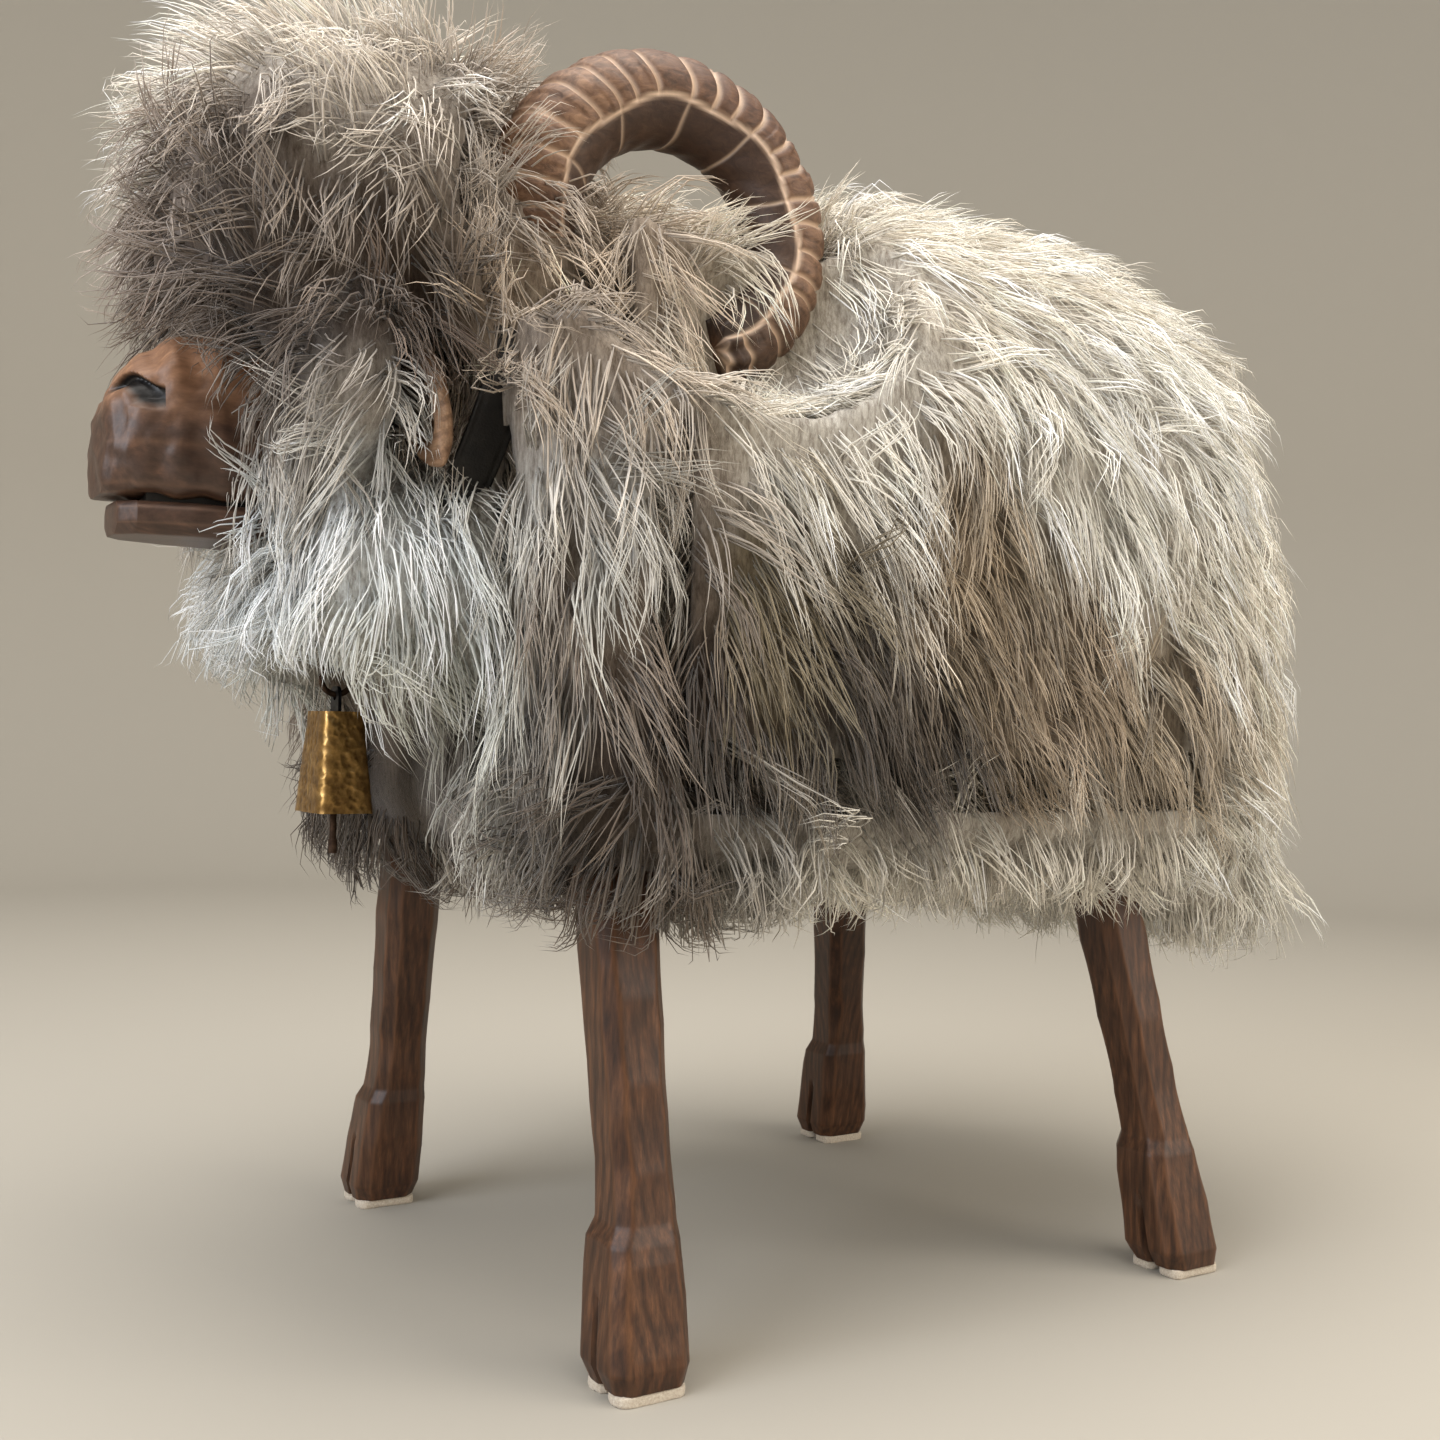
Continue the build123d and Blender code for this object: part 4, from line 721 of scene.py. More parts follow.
# %% [markdown]
# The frame's own boards, screws, dowels and the small ironwork keep their CAD shapes, which
# are right, and get the finish of the real thing: planed pine, zinc, blackened and bare iron.
# %% Finishes for the carried-over pieces
def metal_finish(name, dark, pale, rough, metallic=1.0, scale=240.0):
    """Metal with a thin uneven skin: noise moves its colour and its gloss a little."""
    material, tree, shader = finish_named(name, Metallic=metallic)
    skin = add(tree, "ShaderNodeTexNoise", {"Vector": place(tree)}, Scale=scale, Detail=5.0, Roughness=0.65)
    tree.links.new(ramp(tree, skin.outputs["Fac"], (0.35, dark), (0.68, pale)), shader.inputs["Base Color"])
    gloss = add(tree, "ShaderNodeMapRange", {"Value": skin.outputs["Fac"]}, To_Min=rough + 0.12,
                To_Max=rough - 0.1)
    tree.links.new(gloss.outputs[0], shader.inputs["Roughness"])
    bump(tree, shader, skin.outputs["Fac"], 0.2 * MM, 0.4)
    return material

carried = {"raw_pine": board_wood, "beech_dowel": dowel_wood,
           "zinc_steel": metal_finish("zinc_plated_steel", "#9a9a94", "#c4c4be", 0.38),
           "black_steel": metal_finish("blackened_steel", "#17171a", "#34343a", 0.42),
           "dark_iron": metal_finish("rusty_iron_rod", "#2b1d15", "#5a4638", 0.6, 0.8)}
slot_of = {"base_board": "raw_pine", "seat_board": "raw_pine", "neck_post": "raw_pine",
           "head_block": "raw_pine",
           "clapper": "dark_iron", "bell_hanger": "black_steel", "bell_ring": "dark_iron",
           "collar_staple": "black_steel", "collar_buckle": "black_steel", "collar_keeper": "black_steel",
           "buckle_prong": "black_steel", "neck_peg": "beech_dowel"}
for node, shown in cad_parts.items():
    if shown.hide_render:
        continue
    kind = slot_of.get(node)
    for ending, slot in (("bulkhead", "raw_pine"), ("spine", "raw_pine"), ("dowels", "beech_dowel"),
                         ("screws", "zinc_steel"), ("bolts", "zinc_steel"), ("washers", "zinc_steel"),
                         ("nuts", "zinc_steel")):
        if node.endswith(ending):
            kind = slot
    if kind:
        shown.data.materials.clear()
        shown.data.materials.append(carried[kind])
print("carried over", sum(1 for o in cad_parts.values() if not o.hide_render))

# %% [markdown]
# Under the wool is the stuffed form: batting on the frame with the hides drawn tight over it.
# It is all the fleece and padding solids fused by a voxel remesh, then shrunk by the depth of
# the wool, so that the wool's tips and not its roots come out at the right size.
# %% Stuffed form
skins = [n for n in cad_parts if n.endswith("_fleece")]
paddings = [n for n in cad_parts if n.endswith("_padding")]
wool_depth, voxel = 21 * MM, 6.5 * MM

def fused(nodes):
    """The points and triangles of several nodes in one pair of arrays."""
    points, corners, count = [], [], 0
    for node in nodes:
        p, c = cad_arrays(node)
        points.append(p)
        corners.append(c + count)
        count += len(p)
    return np.concatenate(points), np.concatenate(corners)

def core_block():
    """A plain block that fills the hollow of the frame, so that the form has no inside surface."""
    x, y, z = (-135, 135), (-150, 285), (262, 560)
    corners = np.array([[a, b, c] for a in x for b in y for c in z]) * MM
    faces = np.array([[0, 1, 3], [0, 3, 2], [4, 6, 7], [4, 7, 5], [0, 4, 5], [0, 5, 1],
                      [2, 3, 7], [2, 7, 6], [0, 2, 6], [0, 6, 4], [1, 5, 7], [1, 7, 3]])
    return corners, faces

def egg(middle, radii, turns=24):
    """An ellipsoid: a half circle of rings round the z axis, stretched to three radii."""
    climb = np.linspace(-pi / 2, pi / 2, turns)[1:-1, None]
    turn = np.linspace(0, 2 * pi, turns, endpoint=False)[None, :]
    rings = np.stack([np.cos(climb) * np.cos(turn), np.cos(climb) * np.sin(turn),
                      np.sin(climb) + 0 * turn], -1)
    points, (quads, *ends) = capped(rings * radii + middle)
    return points * MM, np.concatenate([quads[:, :3], quads[:, [0, 2, 3]], *ends])

def joined(*solids):
    """Several pairs of points and triangles as one pair."""
    counts = np.cumsum([0] + [len(p) for p, _ in solids])
    corners = [c + n for (_, c), n in zip(solids, counts)]
    return np.concatenate([p for p, _ in solids]), np.concatenate(corners)

def as_triangles(faces):
    """Every four-cornered face as two triangles."""
    halves = [np.concatenate([f[:, :3], f[:, [0, 2, 3]]]) if f.shape[1] == 4 else f for f in faces]
    return np.concatenate(halves)

fine = ("REMESH", dict(mode="VOXEL", voxel_size=voxel))
boards = ["base_board", "front_bulkhead", "middle_bulkhead", "rear_bulkhead", "seat_board",
          "head_block", "neck_post"]
inside = remade(*fused(boards), ("REMESH", dict(mode="VOXEL", voxel_size=4 * MM)),
                ("DISPLACE", dict(strength=6 * MM, mid_level=0.0)))
# stuffed tufts on each side: one behind the horn's root and one in front of the ear
tufts = [egg((side * 66, -176, 528), (30, 36, 56)) for side in (1, -1)]
tufts += [egg((side * 88, -266, 456), (24, 24, 42)) for side in (1, -1)]
closing = 3.0 * MM                             # swells the solids so that their seams close
shell = remade(*joined(fused(skins + paddings), core_block()),
               ("DISPLACE", dict(strength=closing, mid_level=0.0)), fine, ("SMOOTH", dict(factor=0.5, iterations=10)),
               ("DISPLACE", dict(strength=-wool_depth - closing, mid_level=0.0)))
# the batting is pulled in over the croup, most at its upper corners
croup = np.clip((shell[0][:, 1] - 0.15) / 0.12, 0, 1) * np.clip((shell[0][:, 2] - 0.40) / 0.12, 0, 1)
pull = np.stack([0.16 * shell[0][:, 0], np.full(len(croup), 0.010), np.full(len(croup), 0.016)], 1)
shell[0][:] -= croup[:, None] * pull
stuffing = joined((shell[0], as_triangles(shell[1])), (inside[0], as_triangles(inside[1])), *tufts)
form_points, form_faces = remade(*stuffing, fine, ("SMOOTH", dict(factor=0.5, iterations=8)))
form_quads = form_faces[0]
print("stuffed form", len(form_points), "points, low", form_points.min(0).round(3), "high", form_points.max(0).round(3))

# %% [markdown]
# The coat is made of real locks, not a picture of wool. Each lock has one guide: it leaves the
# skin at a lean, follows the way that part of the coat is combed, and bends under its weight.
# Where a lock stands decides its comb, length and colour, so the coat has no visible joins.
# %% How each skin is combed
# skin: comb (out from the middle, back, up), lean off the skin, length, width of a lock,
# droop, share of the locks for its area
coat = {
    "crown":    ((0.45, 0.1, -0.25), 0.62, 54, 10.0, 0.12, 1.25),
    "cheek":    ((0.30, -0.35, -0.7), 0.45, 50, 8.5, 0.22, 1.15),
    "chest":    ((0.15, 0.15, -1.0), 0.40, 70, 9.0, 0.30, 1.15),
    "shoulder": ((0.10, 0.22, -1.0), 0.40, 66, 9.0, 0.24, 1.15),
    "withers":  ((0.20, 0.90, 0.00), 0.60, 46, 7.0, 0.15, 1.20),
    "flank":    ((0.05, 0.18, -1.0), 0.42, 62, 9.0, 0.20, 1.10),
    "back":     ((0.45, 0.60, -0.3), 0.40, 58, 9.0, 0.14, 1.05),
    "rump":     ((0.10, 0.20, -1.0), 0.45, 60, 9.0, 0.20, 1.00),
    "belly":    ((-0.60, 0.10, -1.0), 0.45, 44, 8.5, 0.30, 1.00),
    "breech":   ((0.15, 0.10, -1.0), 0.50, 52, 9.0, 0.25, 1.20),
}
def family(node):
    return next(k for k in coat if k in node)

def unit(v):
    return v / np.maximum(np.linalg.norm(v, axis=-1, keepdims=True), 1e-9)

def scattered(points, quads, count, rng, weight=None):
    """Evenly scattered places on a mesh, with normals: triangles are picked by their area along a
    stepped ladder, and the place in a triangle by two random numbers folded into its half."""
    tri = np.concatenate([quads[:, :3], quads[:, [0, 2, 3]]], 1).reshape(-1, 3)
    a, b, c = (points[tri[:, k]] for k in range(3))
    cross = np.cross(b - a, c - a)
    area = np.linalg.norm(cross, axis=1) / 2
    if weight is not None:
        area = area * np.repeat(weight, 2)
    ladder = np.cumsum(area) / area.sum()
    chosen = np.searchsorted(ladder, (np.arange(count) + rng.uniform(size=count)) / count)
    chosen = chosen.clip(0, len(tri) - 1)
    u, v = rng.uniform(size=(2, count, 1))
    fold = (u + v) > 1
    u, v = np.where(fold, 1 - u, u), np.where(fold, 1 - v, v)
    return a[chosen] + u * (b - a)[chosen] + v * (c - a)[chosen], chosen // 2

def point_normals(points, quads):
    """Mean of the faces' normals round each point, weighted by area."""
    cross = np.cross(points[quads[:, 2]] - points[quads[:, 0]], points[quads[:, 3]] - points[quads[:, 1]])
    total = np.zeros_like(points)
    for k in range(4):
        np.add.at(total, quads[:, k], cross)
    return unit(total)

def nearness(places, samples, spread):
    """For each place, a weight for every skin that falls off with the distance to that skin."""
    weights = np.zeros((len(places), len(samples)))
    for k, skin in enumerate(samples):
        for start in range(0, len(places), 2000):
            part = places[start:start + 2000]
            gap = ((part[:, None, :] - skin[None]) ** 2).sum(-1).min(1)
            weights[start:start + 2000, k] = np.sqrt(gap)
    weights = np.exp(-(weights - weights.min(1, keepdims=True)) / spread)
    return weights / weights.sum(1, keepdims=True)

rng = np.random.default_rng(2026)
normals = point_normals(form_points, form_quads)
face_middle, face_normal = form_points[form_quads].mean(1), unit(normals[form_quads].mean(1))
samples = []
for node in skins:
    p, c = cad_arrays(node)
    spots, _ = scattered(p, np.concatenate([c, c[:, 2:]], 1), 500, rng)
    samples.append(spots)
spread = 14 * MM
table = np.array([[*coat[family(n)][0], *coat[family(n)][1:]] for n in skins])
face_weight = nearness(face_middle, samples, spread)
dense = face_weight @ table[:, 7]
print("skins", len(skins), "faces of the form", len(form_quads))

# %% [markdown]
# Wool keeps clear of the wood, the bell and the collar: a guide that would run through a horn, a
# leg, the muzzle, the bell's swing or the collar's sides is pushed to the outside of the round posts that stand for
# them.
# %% Posts that the wool goes round
def chain(path, radius, steps):
    """Posts along a path of points, evenly spaced, with a radius that may change along it."""
    path = np.array(path, float)
    at = np.linspace(0, len(path) - 1, steps)
    middle = np.stack([np.interp(at, np.arange(len(path)), path[:, k]) for k in range(3)], 1)
    size = np.interp(at, np.linspace(0, len(path) - 1, len(np.atleast_1d(radius))), np.atleast_1d(radius))
    return np.concatenate([middle, size[:, None]], 1) * MM

posts = []
for side in (1, -1):
    turn = np.radians(np.linspace(150, -75, 46))
    t = np.linspace(45 / 270, 1, 46)
    thick, out = horn_size(t)
    posts.append(np.stack([side * out, horn_middle[0] + horn_circle * np.cos(turn),
                           horn_middle[1] + horn_circle * np.sin(turn), thick + 2], 1) * MM)
    for half, hoof_y, run_in, run_back in leg_stance.values():
        leg = [(side * (half - run_in * z), hoof_y + run_back * z, z) for z in (100, 250)]
        posts.append(chain(leg, 23, 12))
posts.append(chain([(0, -362, 436), (0, -324, 436)], [40, 43], 7))
posts.append(chain([(0, -352, 398), (0, -322, 398)], [24, 30], 5))
staple_y = -239.6                                # the bell hangs under the staple
bell_room = [chain([(0, y, 306), (0, y - 0.4 * (-staple_y - abs(y)), 238)], [18, 30, 30], 6)
             for y in (-238, -262, -286)]
strap_view = [chain([(side * 103, -203, z), (side * 158, -227, z - 9)], [15, 21], 6)
              for side in (1, -1) for z in (424, 442)]
posts = np.concatenate(posts + bell_room + strap_view)

def kept_clear(points, extra=0.0):
    """A point inside a post moves straight out from the post's middle to its surface."""
    flat = points.reshape(-1, 3).copy()
    for x, y, z, radius in posts:
        away = flat - (x, y, z)
        gap = np.linalg.norm(away, axis=1, keepdims=True)
        outside = (x, y, z) + away / np.maximum(gap, 1e-6) * (radius + extra)
        flat = np.where(gap < radius + extra, outside, flat)
    return flat.reshape(points.shape)

def inside_posts(points):
    gap = np.linalg.norm(points[:, None, :] - posts[None, :, :3], axis=-1) - posts[None, :, 3]
    return gap.min(1) < 0
print("posts", len(posts))

# %% [markdown]
# The guides: places on the form, then five short steps for each, with a slow swirl that
# neighbouring locks share and a smaller one of their own.
# %% Guides
lock_count = 9100
guide_steps = 6
roots, on_face = scattered(form_points, form_quads, lock_count, rng, dense)
keep = ~inside_posts(roots)
roots, on_face = roots[keep], on_face[keep]
root_normal = face_normal[on_face]
weights = face_weight[on_face]
fields = weights @ table
out, back, up, lean, length, width, droop = (fields[:, k] for k in range(7))
side = np.tanh(roots[:, 0] / 0.03)
comb = np.stack([out * side, back, up], 1)
crown_share = weights[:, [k for k, n in enumerate(skins) if "crown" in n]].sum(1)[:, None]
whorl = np.array([0.0, -0.205, 0.60])
comb = comb * (1 - crown_share) + crown_share * unit(roots - whorl) * [1, 1, 0.8]
face = np.exp(-((roots[:, 1] + 0.30) / 0.045) ** 2 - ((roots[:, 2] - 0.43) / 0.055) ** 2)[:, None]
comb = comb + face * np.array([0, -1.6, 0.1])
comb = comb + waves(roots, 95, 31) * 0.36 + waves(roots, 30, 32) * 0.34
comb = comb + rng.normal(size=roots.shape) * 0.10
comb = unit(comb - (comb * root_normal).sum(1, keepdims=True) * root_normal)
root_x, root_y, root_z = np.abs(roots[:, 0]), roots[:, 1], roots[:, 2]
near_bell = np.exp(-np.maximum(root_x - 0.045, 0) / 0.01)        # short behind the bell
near_bell = near_bell * (root_y < -0.15) * (root_y > -0.262) * (root_z > 0.235) * (root_z < 0.322)
fringe = np.exp(-((root_y + 0.135) / 0.075) ** 2)                # long round the front legs
fringe = fringe * np.clip((0.275 - root_z) / 0.03, 0, 1) * (root_x > 0.09)
length = length * MM * rng.uniform(0.78, 1.15, len(roots)) * (1 - 0.5 * near_bell) * (1 + 0.6 * fringe)
lean = lean + rng.normal(0, 0.09, len(roots)) + waves(roots, 45, 33)[:, 0] * 0.08
lean = np.clip(lean, 0.15, 0.95)[:, None]

tree_of_form = BVHTree.FromPolygons(form_points.tolist(), form_quads.tolist())
def over_form(points, least, most):
    """Moves each point along the form's normal until its height over the form is in that range."""
    found = [tree_of_form.find_nearest(p) for p in points.tolist()]
    spot = np.array([f[0] for f in found])
    normal = np.array([f[1] for f in found])
    height = ((points - spot) * normal).sum(1)
    return points + normal * (np.clip(height, least, most) - height)[:, None]

high_most = wool_depth * (1.05 + 0.25 * waves(roots, 24, 41)[:, 0])
high_most = high_most + (crown_share[:, 0] * 12 + rng.exponential(2.5, len(roots))) * MM
rear_share = weights[:, [k for k, n in enumerate(skins) if "back" in n or "rump" in n]].sum(1)
high_most = np.maximum(high_most - 7 * MM * rear_share, 11 * MM)
guides = [roots - root_normal * 1.5 * MM]
heading = unit(root_normal * lean + comb * (1 - lean))
step = (length / guide_steps)[:, None]
for k in range(guide_steps):
    ahead = guides[-1] + heading * step
    ahead = over_form(ahead, (2.0 + 2.2 * k) * MM, high_most)
    ahead = kept_clear(ahead, (1.0 + 1.0 * k) * MM)
    heading = unit(unit(ahead - guides[-1]) + comb * 0.22 + waves(ahead, 26, 40) * 0.16
                   + np.array([0, 0, -1.0]) * droop[:, None] + rng.normal(size=roots.shape) * 0.07)
    guides.append(ahead)
guides = np.stack(guides, 1)
room_low = np.array(cad_low) - 8 * MM
room_high = np.array(cad_high) + 9 * MM
room_low[2] = 0.165
for axis in range(3):                          # tips that would leave the allowed box are eased in
    over = np.maximum(guides[..., axis] - room_high[axis], 0)
    over = over + np.minimum(guides[..., axis] - room_low[axis], 0)
    guides[..., axis] -= over
print("locks", len(roots), "low", guides.min((0, 1)).round(3), "high", guides.max((0, 1)).round(3))

# %% [markdown]
# Undyed skins are patched: cream on the crown and back, white at the throat and hips, taupe
# and near-black brown at the temple, the shoulder point and low on the flank. Each patch is a
# soft ball of colour on the ram's side view, and a swirl makes its edge uneven.
# %% Natural colour patches
# name, y, z, reach in mm, colour
wool_patches = [
    ("crown", -262, 622, 58, "#efe6da"), ("fringe", -345, 545, 45, "#b3a499"),
    ("brow", -352, 500, 40, "#8d8077"), ("forehead", -300, 545, 38, "#8f8276"),
    ("temple", -262, 506, 44, "#65564a"), ("under eye", -306, 468, 30, "#6f655f"),
    ("jowl", -240, 478, 30, "#6b5a4d"), ("poll", -215, 560, 48, "#b9ada0"),
    ("nape", -150, 515, 50, "#cbb9a5"), ("cheek", -296, 424, 34, "#cbc2b6"),
    ("throat", -300, 362, 60, "#fbffff"), ("chest", -256, 300, 55, "#eeeee4"),
    ("brisket", -236, 242, 46, "#f3efe6"), ("withers", -110, 480, 52, "#e6ddcc"),
    ("shoulder", -146, 432, 38, "#c9beb2"), ("taupe band", -172, 352, 34, "#8f8174"),
    ("shoulder front", -196, 400, 32, "#cfcdc5"), ("shoulder point", -166, 282, 44, "#55493f"),
    ("forearm", -150, 226, 34, "#5c4e42"), ("elbow", -110, 236, 30, "#b8b2a8"),
    ("behind shoulder", -98, 350, 34, "#94876f"), ("girth", -48, 425, 44, "#efeae0"),
    ("flank spot", -30, 312, 38, "#5e544b"), ("flank", 5, 385, 44, "#b09f88"),
    ("low flank", 60, 325, 46, "#a89782"), ("hip", 135, 490, 66, "#fcf8ee"),
    ("thigh", 200, 400, 60, "#f6efe2"), ("back", 90, 590, 90, "#f6eee0"),
    ("rump", 350, 450, 75, "#f8f2e6"), ("stifle", 165, 300, 42, "#b3a48f"),
    ("breech", 215, 225, 42, "#f4efe4"), ("belly", -10, 226, 48, "#e6e0d4"),
    ("rear belly", 110, 235, 40, "#dcd6ca"),
]
patch_place = np.array([[y, z] for _, y, z, _, _ in wool_patches]) * MM
patch_reach = np.array([p[3] for p in wool_patches]) * MM
patch_colour = np.array([linear(p[4])[:3] for p in wool_patches])

def wool_tint(places):
    """Weighted mean of the patch colours; a patch weighs exp(-(distance / reach) squared)."""
    bent = places + waves(places, 60, 50) * 13 * MM + waves(places, 22, 51) * 5 * MM
    shift = np.where(places[:, :1] < 0, 24 * MM, 0.0)             # the other side isn't a mirror image
    gap = np.linalg.norm((bent[:, 1:] + shift)[:, None, :] - patch_place[None], axis=-1)
    weight = np.exp(-(gap / patch_reach) ** 2 * 1.9) + 1e-9
    return weight @ patch_colour / weight.sum(1, keepdims=True)

# locks stop where they would enter the bell's swing, or hang in front of it
guide_x, guide_y, guide_z = np.abs(guides[..., 0]), guides[..., 1], guides[..., 2]
in_room = (guide_x < 58 * MM) & (guide_y < -0.190) & (guide_z < 0.322) & (guide_z > 0.20)
in_room |= (guide_y < (-232 * MM - 0.33 * guide_x)) & (guide_z < 0.316)
first = np.where(in_room.any(1), in_room.argmax(1), guide_steps + 1)
lock_stop = np.clip((first - 0.6) / guide_steps, 0.12, 1.0)

lock_tint = wool_tint(roots)
lock_tint *= np.exp(rng.normal(0, 0.13, (len(roots), 1)) + waves(roots, 16, 52)[:, :1] * 0.13)
warm = np.array(linear("#ead9b8")[:3])
lock_warm = 0.14 + waves(roots, 34, 53)[:, 1:2] * 0.16 + rng.normal(0, 0.06, (len(roots), 1))
lock_warm = np.clip(lock_warm, 0, 0.6)
print("wool colours", len(wool_patches), "mean", lock_tint.mean(0).round(3))

# %% [markdown]
# A strand is a thin three-sided spike with a closed root. It starts beside its lock's guide
# and is drawn in towards it, so that the lock ends in one soft point. The strand carries its
# colour: darker and duller at the root as painted shade, brighter towards the tip as painted
# light, and bleached at the tip. It also has a small patch of UV map of its own, in which no two strands overlap.
# %% Strands
strands_per_lock = 7
ring_count = 4
taper = np.array([0.85, 1.0, 0.78, 0.42])

def strand_pattern():
    """Faces of one strand and the place of each of their corners in its patch of the UV map."""
    faces, spots = [], []
    for k in range(ring_count - 1):
        for c in range(3):
            n = (c + 1) % 3
            faces.append([3 * k + c, 3 * k + n, 3 * k + 3 + n, 3 * k + 3 + c])
            spots += [(c, k), (c + 1, k), (c + 1, k + 1), (c, k + 1)]
    tip, top = 3 * ring_count, ring_count - 1
    caps = []
    for c in range(3):
        caps.append([3 * top + c, 3 * top + (c + 1) % 3, tip])
        spots += [(c, top), (c + 1, top), (c + 0.5, top + 0.9)]
    caps.append([2, 1, 0])
    spots += [(0, ring_count), (3, ring_count), (1.5, ring_count + 0.9)]
    return np.array(faces), np.array(caps), np.array(spots) / [3, ring_count + 1]

quads_of_one, threes_of_one, spots_of_one = strand_pattern()

def curve_at(lines, share):
    """Points at those shares of each polyline, rounded by Catmull-Rom: each step is a cubic
    through four neighbouring points."""
    steps = lines.shape[1] - 1
    at = np.clip(share * steps, 0, steps - 1e-6)
    k = at.astype(int)
    u = (at - k)[..., None]
    row = np.arange(len(lines))[:, None]
    p0, p1, p2, p3 = (lines[row, np.clip(k + d, 0, steps)] for d in (-1, 0, 1, 2))
    square, cube = 2 * p0 - 5 * p1 + 4 * p2 - p3, 3 * p1 - p0 - 3 * p2 + p3
    return 0.5 * (2 * p1 + (p2 - p0) * u + square * u ** 2 + cube * u ** 3)

def strands_of(chosen, rng):
    """Points and colours of every strand of the chosen locks: strands by points by 3."""
    lock = np.repeat(chosen, strands_per_lock)
    count = len(lock)
    normal = root_normal[lock]
    a = unit(np.cross(normal, comb[lock]))
    b = np.cross(normal, a)
    turn, far = rng.uniform(0, 2 * pi, count), np.sqrt(rng.uniform(0, 1, count)) * width[lock] * MM
    offset = a * (np.cos(turn) * far)[:, None] + b * (np.sin(turn) * far)[:, None]
    reach = rng.uniform(0.70, 1.0, count) * lock_stop[lock]
    share = np.concatenate([np.linspace(0, 0.82, ring_count), [1.0]])[None, :] * reach[:, None]
    line = curve_at(guides[lock], share)
    gather = (1 - 0.72 * share ** 1.2)[..., None]
    stray = rng.normal(size=(count, 1, 3)) * 4.2 * MM * share[..., None] ** 1.5
    frizz = rng.normal(size=(count, share.shape[1], 3)) * 0.55 * MM * share[..., None]
    line = line + offset[:, None, :] * gather + stray + frizz
    run = unit(np.gradient(line, axis=1))
    u = unit(np.cross(run, normal[:, None, :] + 0.01))
    v = np.cross(run, u)
    thick = rng.uniform(0.31, 0.62, count)[:, None] * MM * taper
    spin = rng.uniform(0, 2 * pi, count)[:, None, None] + np.arange(3) * 2 * pi / 3
    ring = (np.cos(spin)[..., None] * u[:, :ring_count, None]
            + np.sin(spin)[..., None] * v[:, :ring_count, None])
    rings = line[:, :ring_count, None] + ring * thick[..., None, None]
    points = np.concatenate([rings.reshape(count, -1, 3), line[:, -1:]], 1)
    base = lock_tint[lock] * np.exp(rng.normal(0, 0.10, (count, 1)))
    # painted shade at the root (0.80 of the colour) rising to painted light at the tip (1.16)
    painted_root_shade_tip_light = np.interp(share, [0, 0.35, 0.7, 1.0], [0.80, 0.98, 1.08, 1.16])[..., None]
    tip = (np.clip(share - 0.35, 0, 1) * 0.75)[..., None] * lock_warm[lock][:, None, :]
    shade = base[:, None, :] * painted_root_shade_tip_light * (1 - tip) + warm * tip * base[:, None, :].mean(-1, keepdims=True) ** 0.5
    colours = np.concatenate([np.repeat(shade[:, :ring_count], 3, axis=1), shade[:, -1:]], 1)
    return points, np.clip(colours, 0, 1)

def wool_finish():
    """Undyed sheep's wool: soft broken highlights and a pale sheen along the fibres."""
    material, tree, shader = finish_named("undyed_sheep_wool", Roughness=0.8, Specular_IOR_Level=0.12,
                                          Sheen_Weight=0.3, Sheen_Roughness=0.5)
    tint = add(tree, "ShaderNodeAttribute", attribute_name="wool").outputs["Color"]
    tree.links.new(tint, shader.inputs["Base Color"])
    return material

wool = wool_finish()

def coat_piece(name, chosen, node, rng):
    """One mesh of strands, with its own UV map in which each strand has a square cell."""
    points, colours = strands_of(chosen, rng)
    count, each = points.shape[:2]
    start = (np.arange(count) * each)[:, None, None]
    faces = [(quads_of_one[None] + start).reshape(-1, 4), (threes_of_one[None] + start).reshape(-1, 3)]
    tint = np.concatenate([colours.reshape(-1, 3), np.ones((count * each, 1))], 1)
    made = piece(name, points.reshape(-1, 3), faces, wool, slot="sheepskin", replaces=[node], wool=tint)
    wide = int(np.ceil(np.sqrt(count)))
    cell = np.stack([np.arange(count) % wide, np.arange(count) // wide], 1)
    four = len(quads_of_one) * 4
    spots = spots_of_one * 0.94 + 0.03 * (spots_of_one < 0.5)
    on_quads = (cell[:, None, :] + spots[None, :four]).reshape(-1, 2) / wide
    on_threes = (cell[:, None, :] + spots[None, four:]).reshape(-1, 2) / wide
    layer = made.data.uv_layers.new(name="OFBake")
    layer.uv.foreach_set("vector", np.concatenate([on_quads, on_threes]).astype(np.float32).ravel())
    return made

owner = weights.argmax(1)
most = 6500 // strands_per_lock
for k, node in enumerate(skins):
    chosen = np.flatnonzero(owner == k)
    parts = max(1, int(np.ceil(len(chosen) / most)))
    for number, part in enumerate(np.array_split(chosen, parts)):
        name = node.replace("fleece", "wool") + (f"_{number + 1}" if parts > 1 else "")
        made = coat_piece(name, part, node, np.random.default_rng(100 * k + number))

# %% [markdown]
# The form itself shows only where the wool parts. It is one piece in place of the padding, and its leather
# side is hidden, so it takes the colour of the wool's roots, a painted shade, with a felted bump.
# %% Hide over the stuffed form
def hide_finish():
    """Felted under-wool at the skin: the coat's colour, dark as painted shade, and matt, with a fine matted relief
    whose low places are painted darker as shade.
    """
    material, tree, shader = finish_named("felted_under_wool", Roughness=0.95, Specular_IOR_Level=0.1,
                                          Sheen_Weight=0.2)
    tint = add(tree, "ShaderNodeAttribute", attribute_name="wool").outputs["Color"]
    mat = add(tree, "ShaderNodeTexNoise", {"Vector": place(tree, (1, 1, 0.3))}, Scale=380.0,
              Detail=6.0, Roughness=0.75)
    # shade: painted shade, darker where the matting noise, which is also the bump's height, is low
    shade = ramp(tree, mat.outputs["Fac"], (0.3, "#8a8078"), (0.7, "#ffffff"))
    tree.links.new(blend(tree, 1.0, tint, shade, "MULTIPLY"), shader.inputs["Base Color"])
    bump(tree, shader, mat.outputs["Fac"], 1.5 * MM, 0.8)
    return material
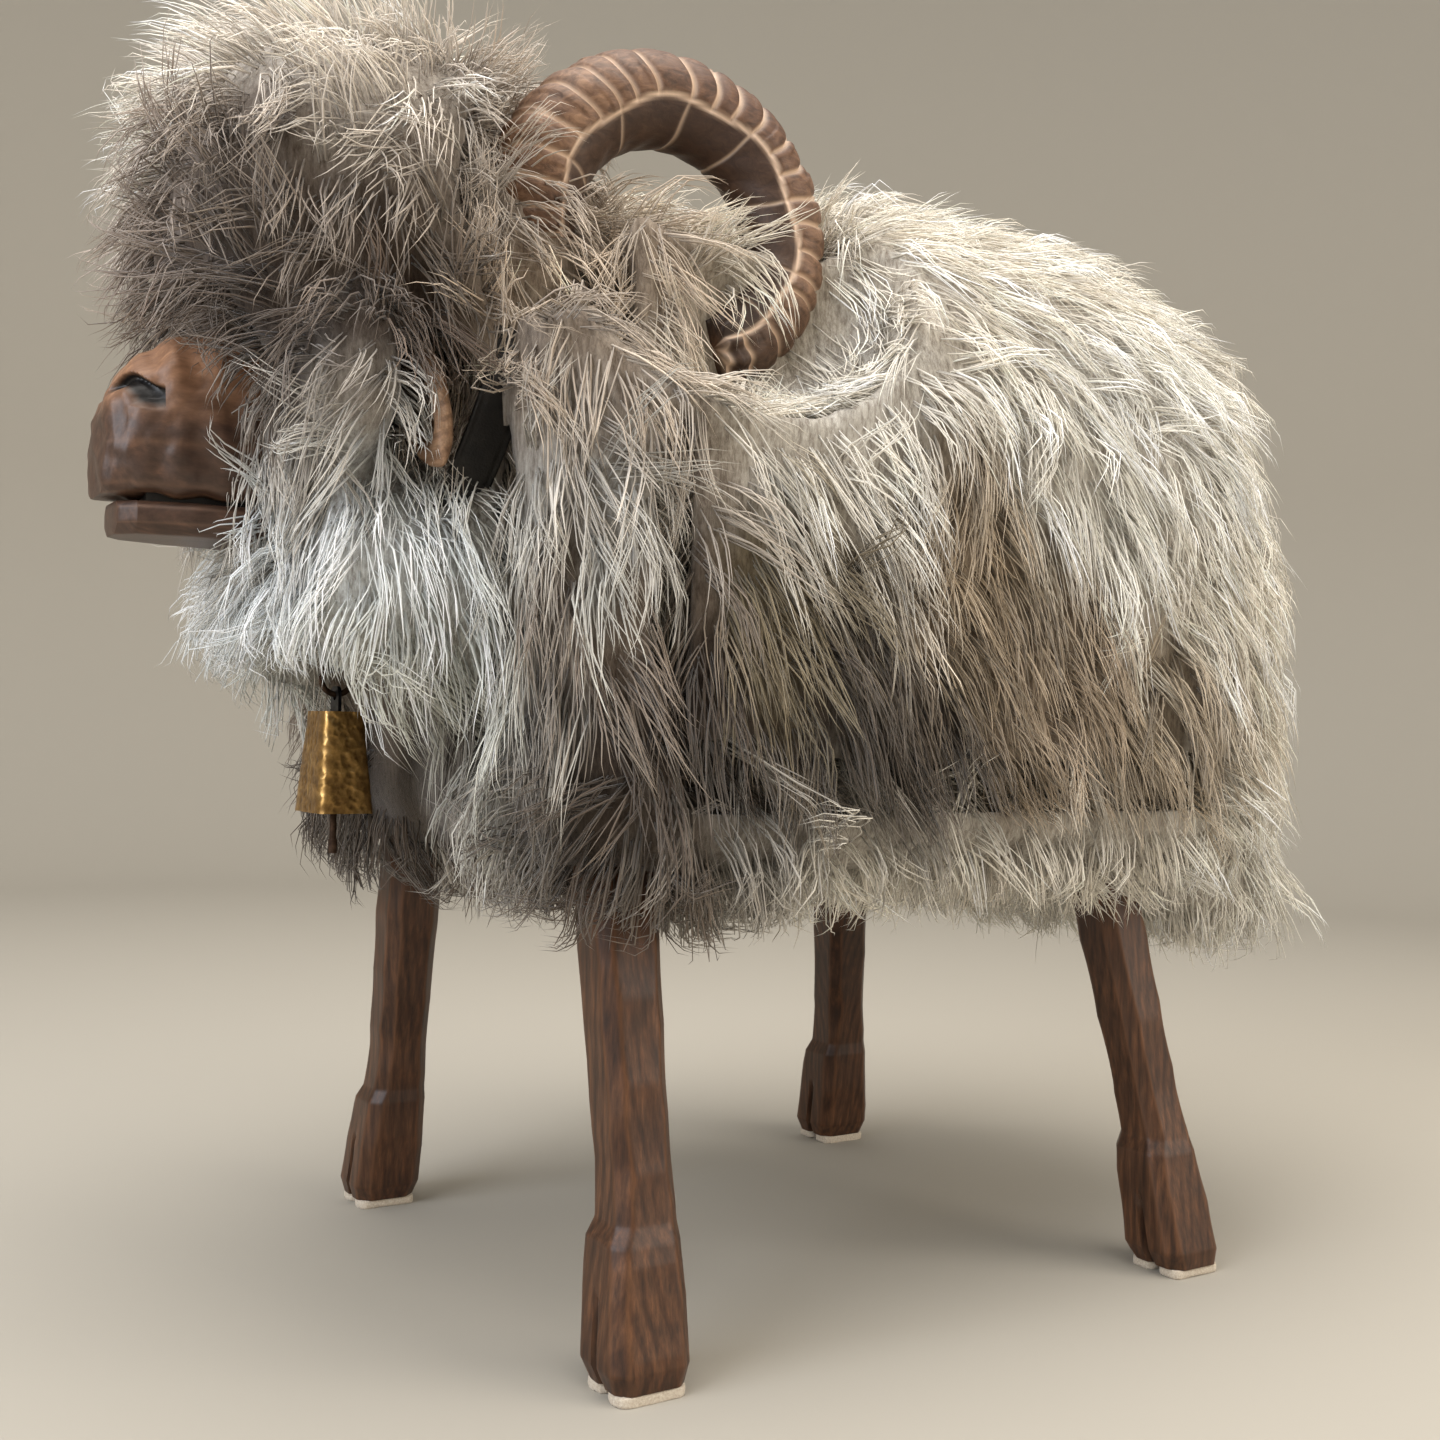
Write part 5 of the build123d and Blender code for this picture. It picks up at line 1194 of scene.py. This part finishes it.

# the wool's colour times 0.8: painted shade of the coat over the skin
form_tint = np.concatenate([wool_tint(form_points) * 0.8, np.ones((len(form_points), 1))], 1)
form = piece("stuffed_hide", form_points, form_faces, hide_finish(), slot="wool_padding", replaces=paddings,
             wool=form_tint)
print("hide", triangles(form), "triangles")

# %% [markdown]
# A plain pale floor rises into a round cove, so that every side view has the same backdrop.
# Light comes from a big soft panel overhead, a cooler one at the left like a window, and a
# weak warm one from the right.
# %% Studio
def studio_floor():
    """A dish: flat to its bend, then a quarter circle up to a wall. The height depends only on
    the distance from the middle."""
    flat, bend, wall = 2.2, 0.9, (2.0, 3.4)          # metres: where the floor bends, and wall heights
    up = np.linspace(0, pi / 2, 16)[1:]
    far = np.concatenate([np.linspace(0.2, flat, 12), flat + bend * np.sin(up), [flat + bend] * 2])
    high = np.concatenate([np.zeros(12), bend - bend * np.cos(up), wall])
    theta = np.linspace(0, 2 * pi, 96, endpoint=False)
    rings = np.stack([far[:, None] * np.cos(theta), far[:, None] * np.sin(theta),
                      high[:, None] + 0 * theta], -1)
    points = np.concatenate([rings.reshape(-1, 3), [[0, 0, 0]]])
    k = np.arange(96)
    middle = np.stack([np.full(96, len(points) - 1), (k + 1) % 96, k], 1)
    mesh = bpy.data.meshes.new("studio_floor")
    mesh.from_pydata(points.tolist(), [], grid_faces(len(far), 96).tolist() + middle.tolist())
    mesh.shade_smooth()
    material, tree, shader = finish_named("matt_studio_paint", Roughness=0.9, Specular_IOR_Level=0.1)
    shader.inputs["Base Color"].default_value = linear("#b3ada2")
    mesh.materials.append(material)
    floor = bpy.data.objects.new("studio_floor", mesh)
    bpy.context.scene.collection.objects.link(floor)
    return floor

studio_floor()

def soft_panel(name, spot, aim, size, watts, colour):
    """A square area light at spot that faces aim."""
    data = bpy.data.lights.new(name, "AREA")
    data.size, data.energy, data.color = size, watts, linear(colour)[:3]
    lamp = bpy.data.objects.new(name, data)
    lamp.location = spot
    lamp.rotation_euler = (Vector(aim) - Vector(spot)).to_track_quat("-Z", "Y").to_euler()
    bpy.context.scene.collection.objects.link(lamp)

soft_panel("overhead", (0.3, -0.2, 2.3), (0, 0, 0.3), 1.8, 50, "#fffaf3")
soft_panel("window", (0.5, -2.1, 1.3), (0, -0.1, 0.35), 1.5, 38, "#edf4ff")
soft_panel("fill", (1.7, 1.2, 1.1), (0, 0, 0.35), 1.4, 24, "#fff8ee")
world = bpy.data.worlds.new("studio")
bpy.context.scene.world = world
world.use_nodes = True
world.node_tree.nodes["Background"].inputs["Color"].default_value = linear("#f3f3f1")
world.node_tree.nodes["Background"].inputs["Strength"].default_value = 0.85
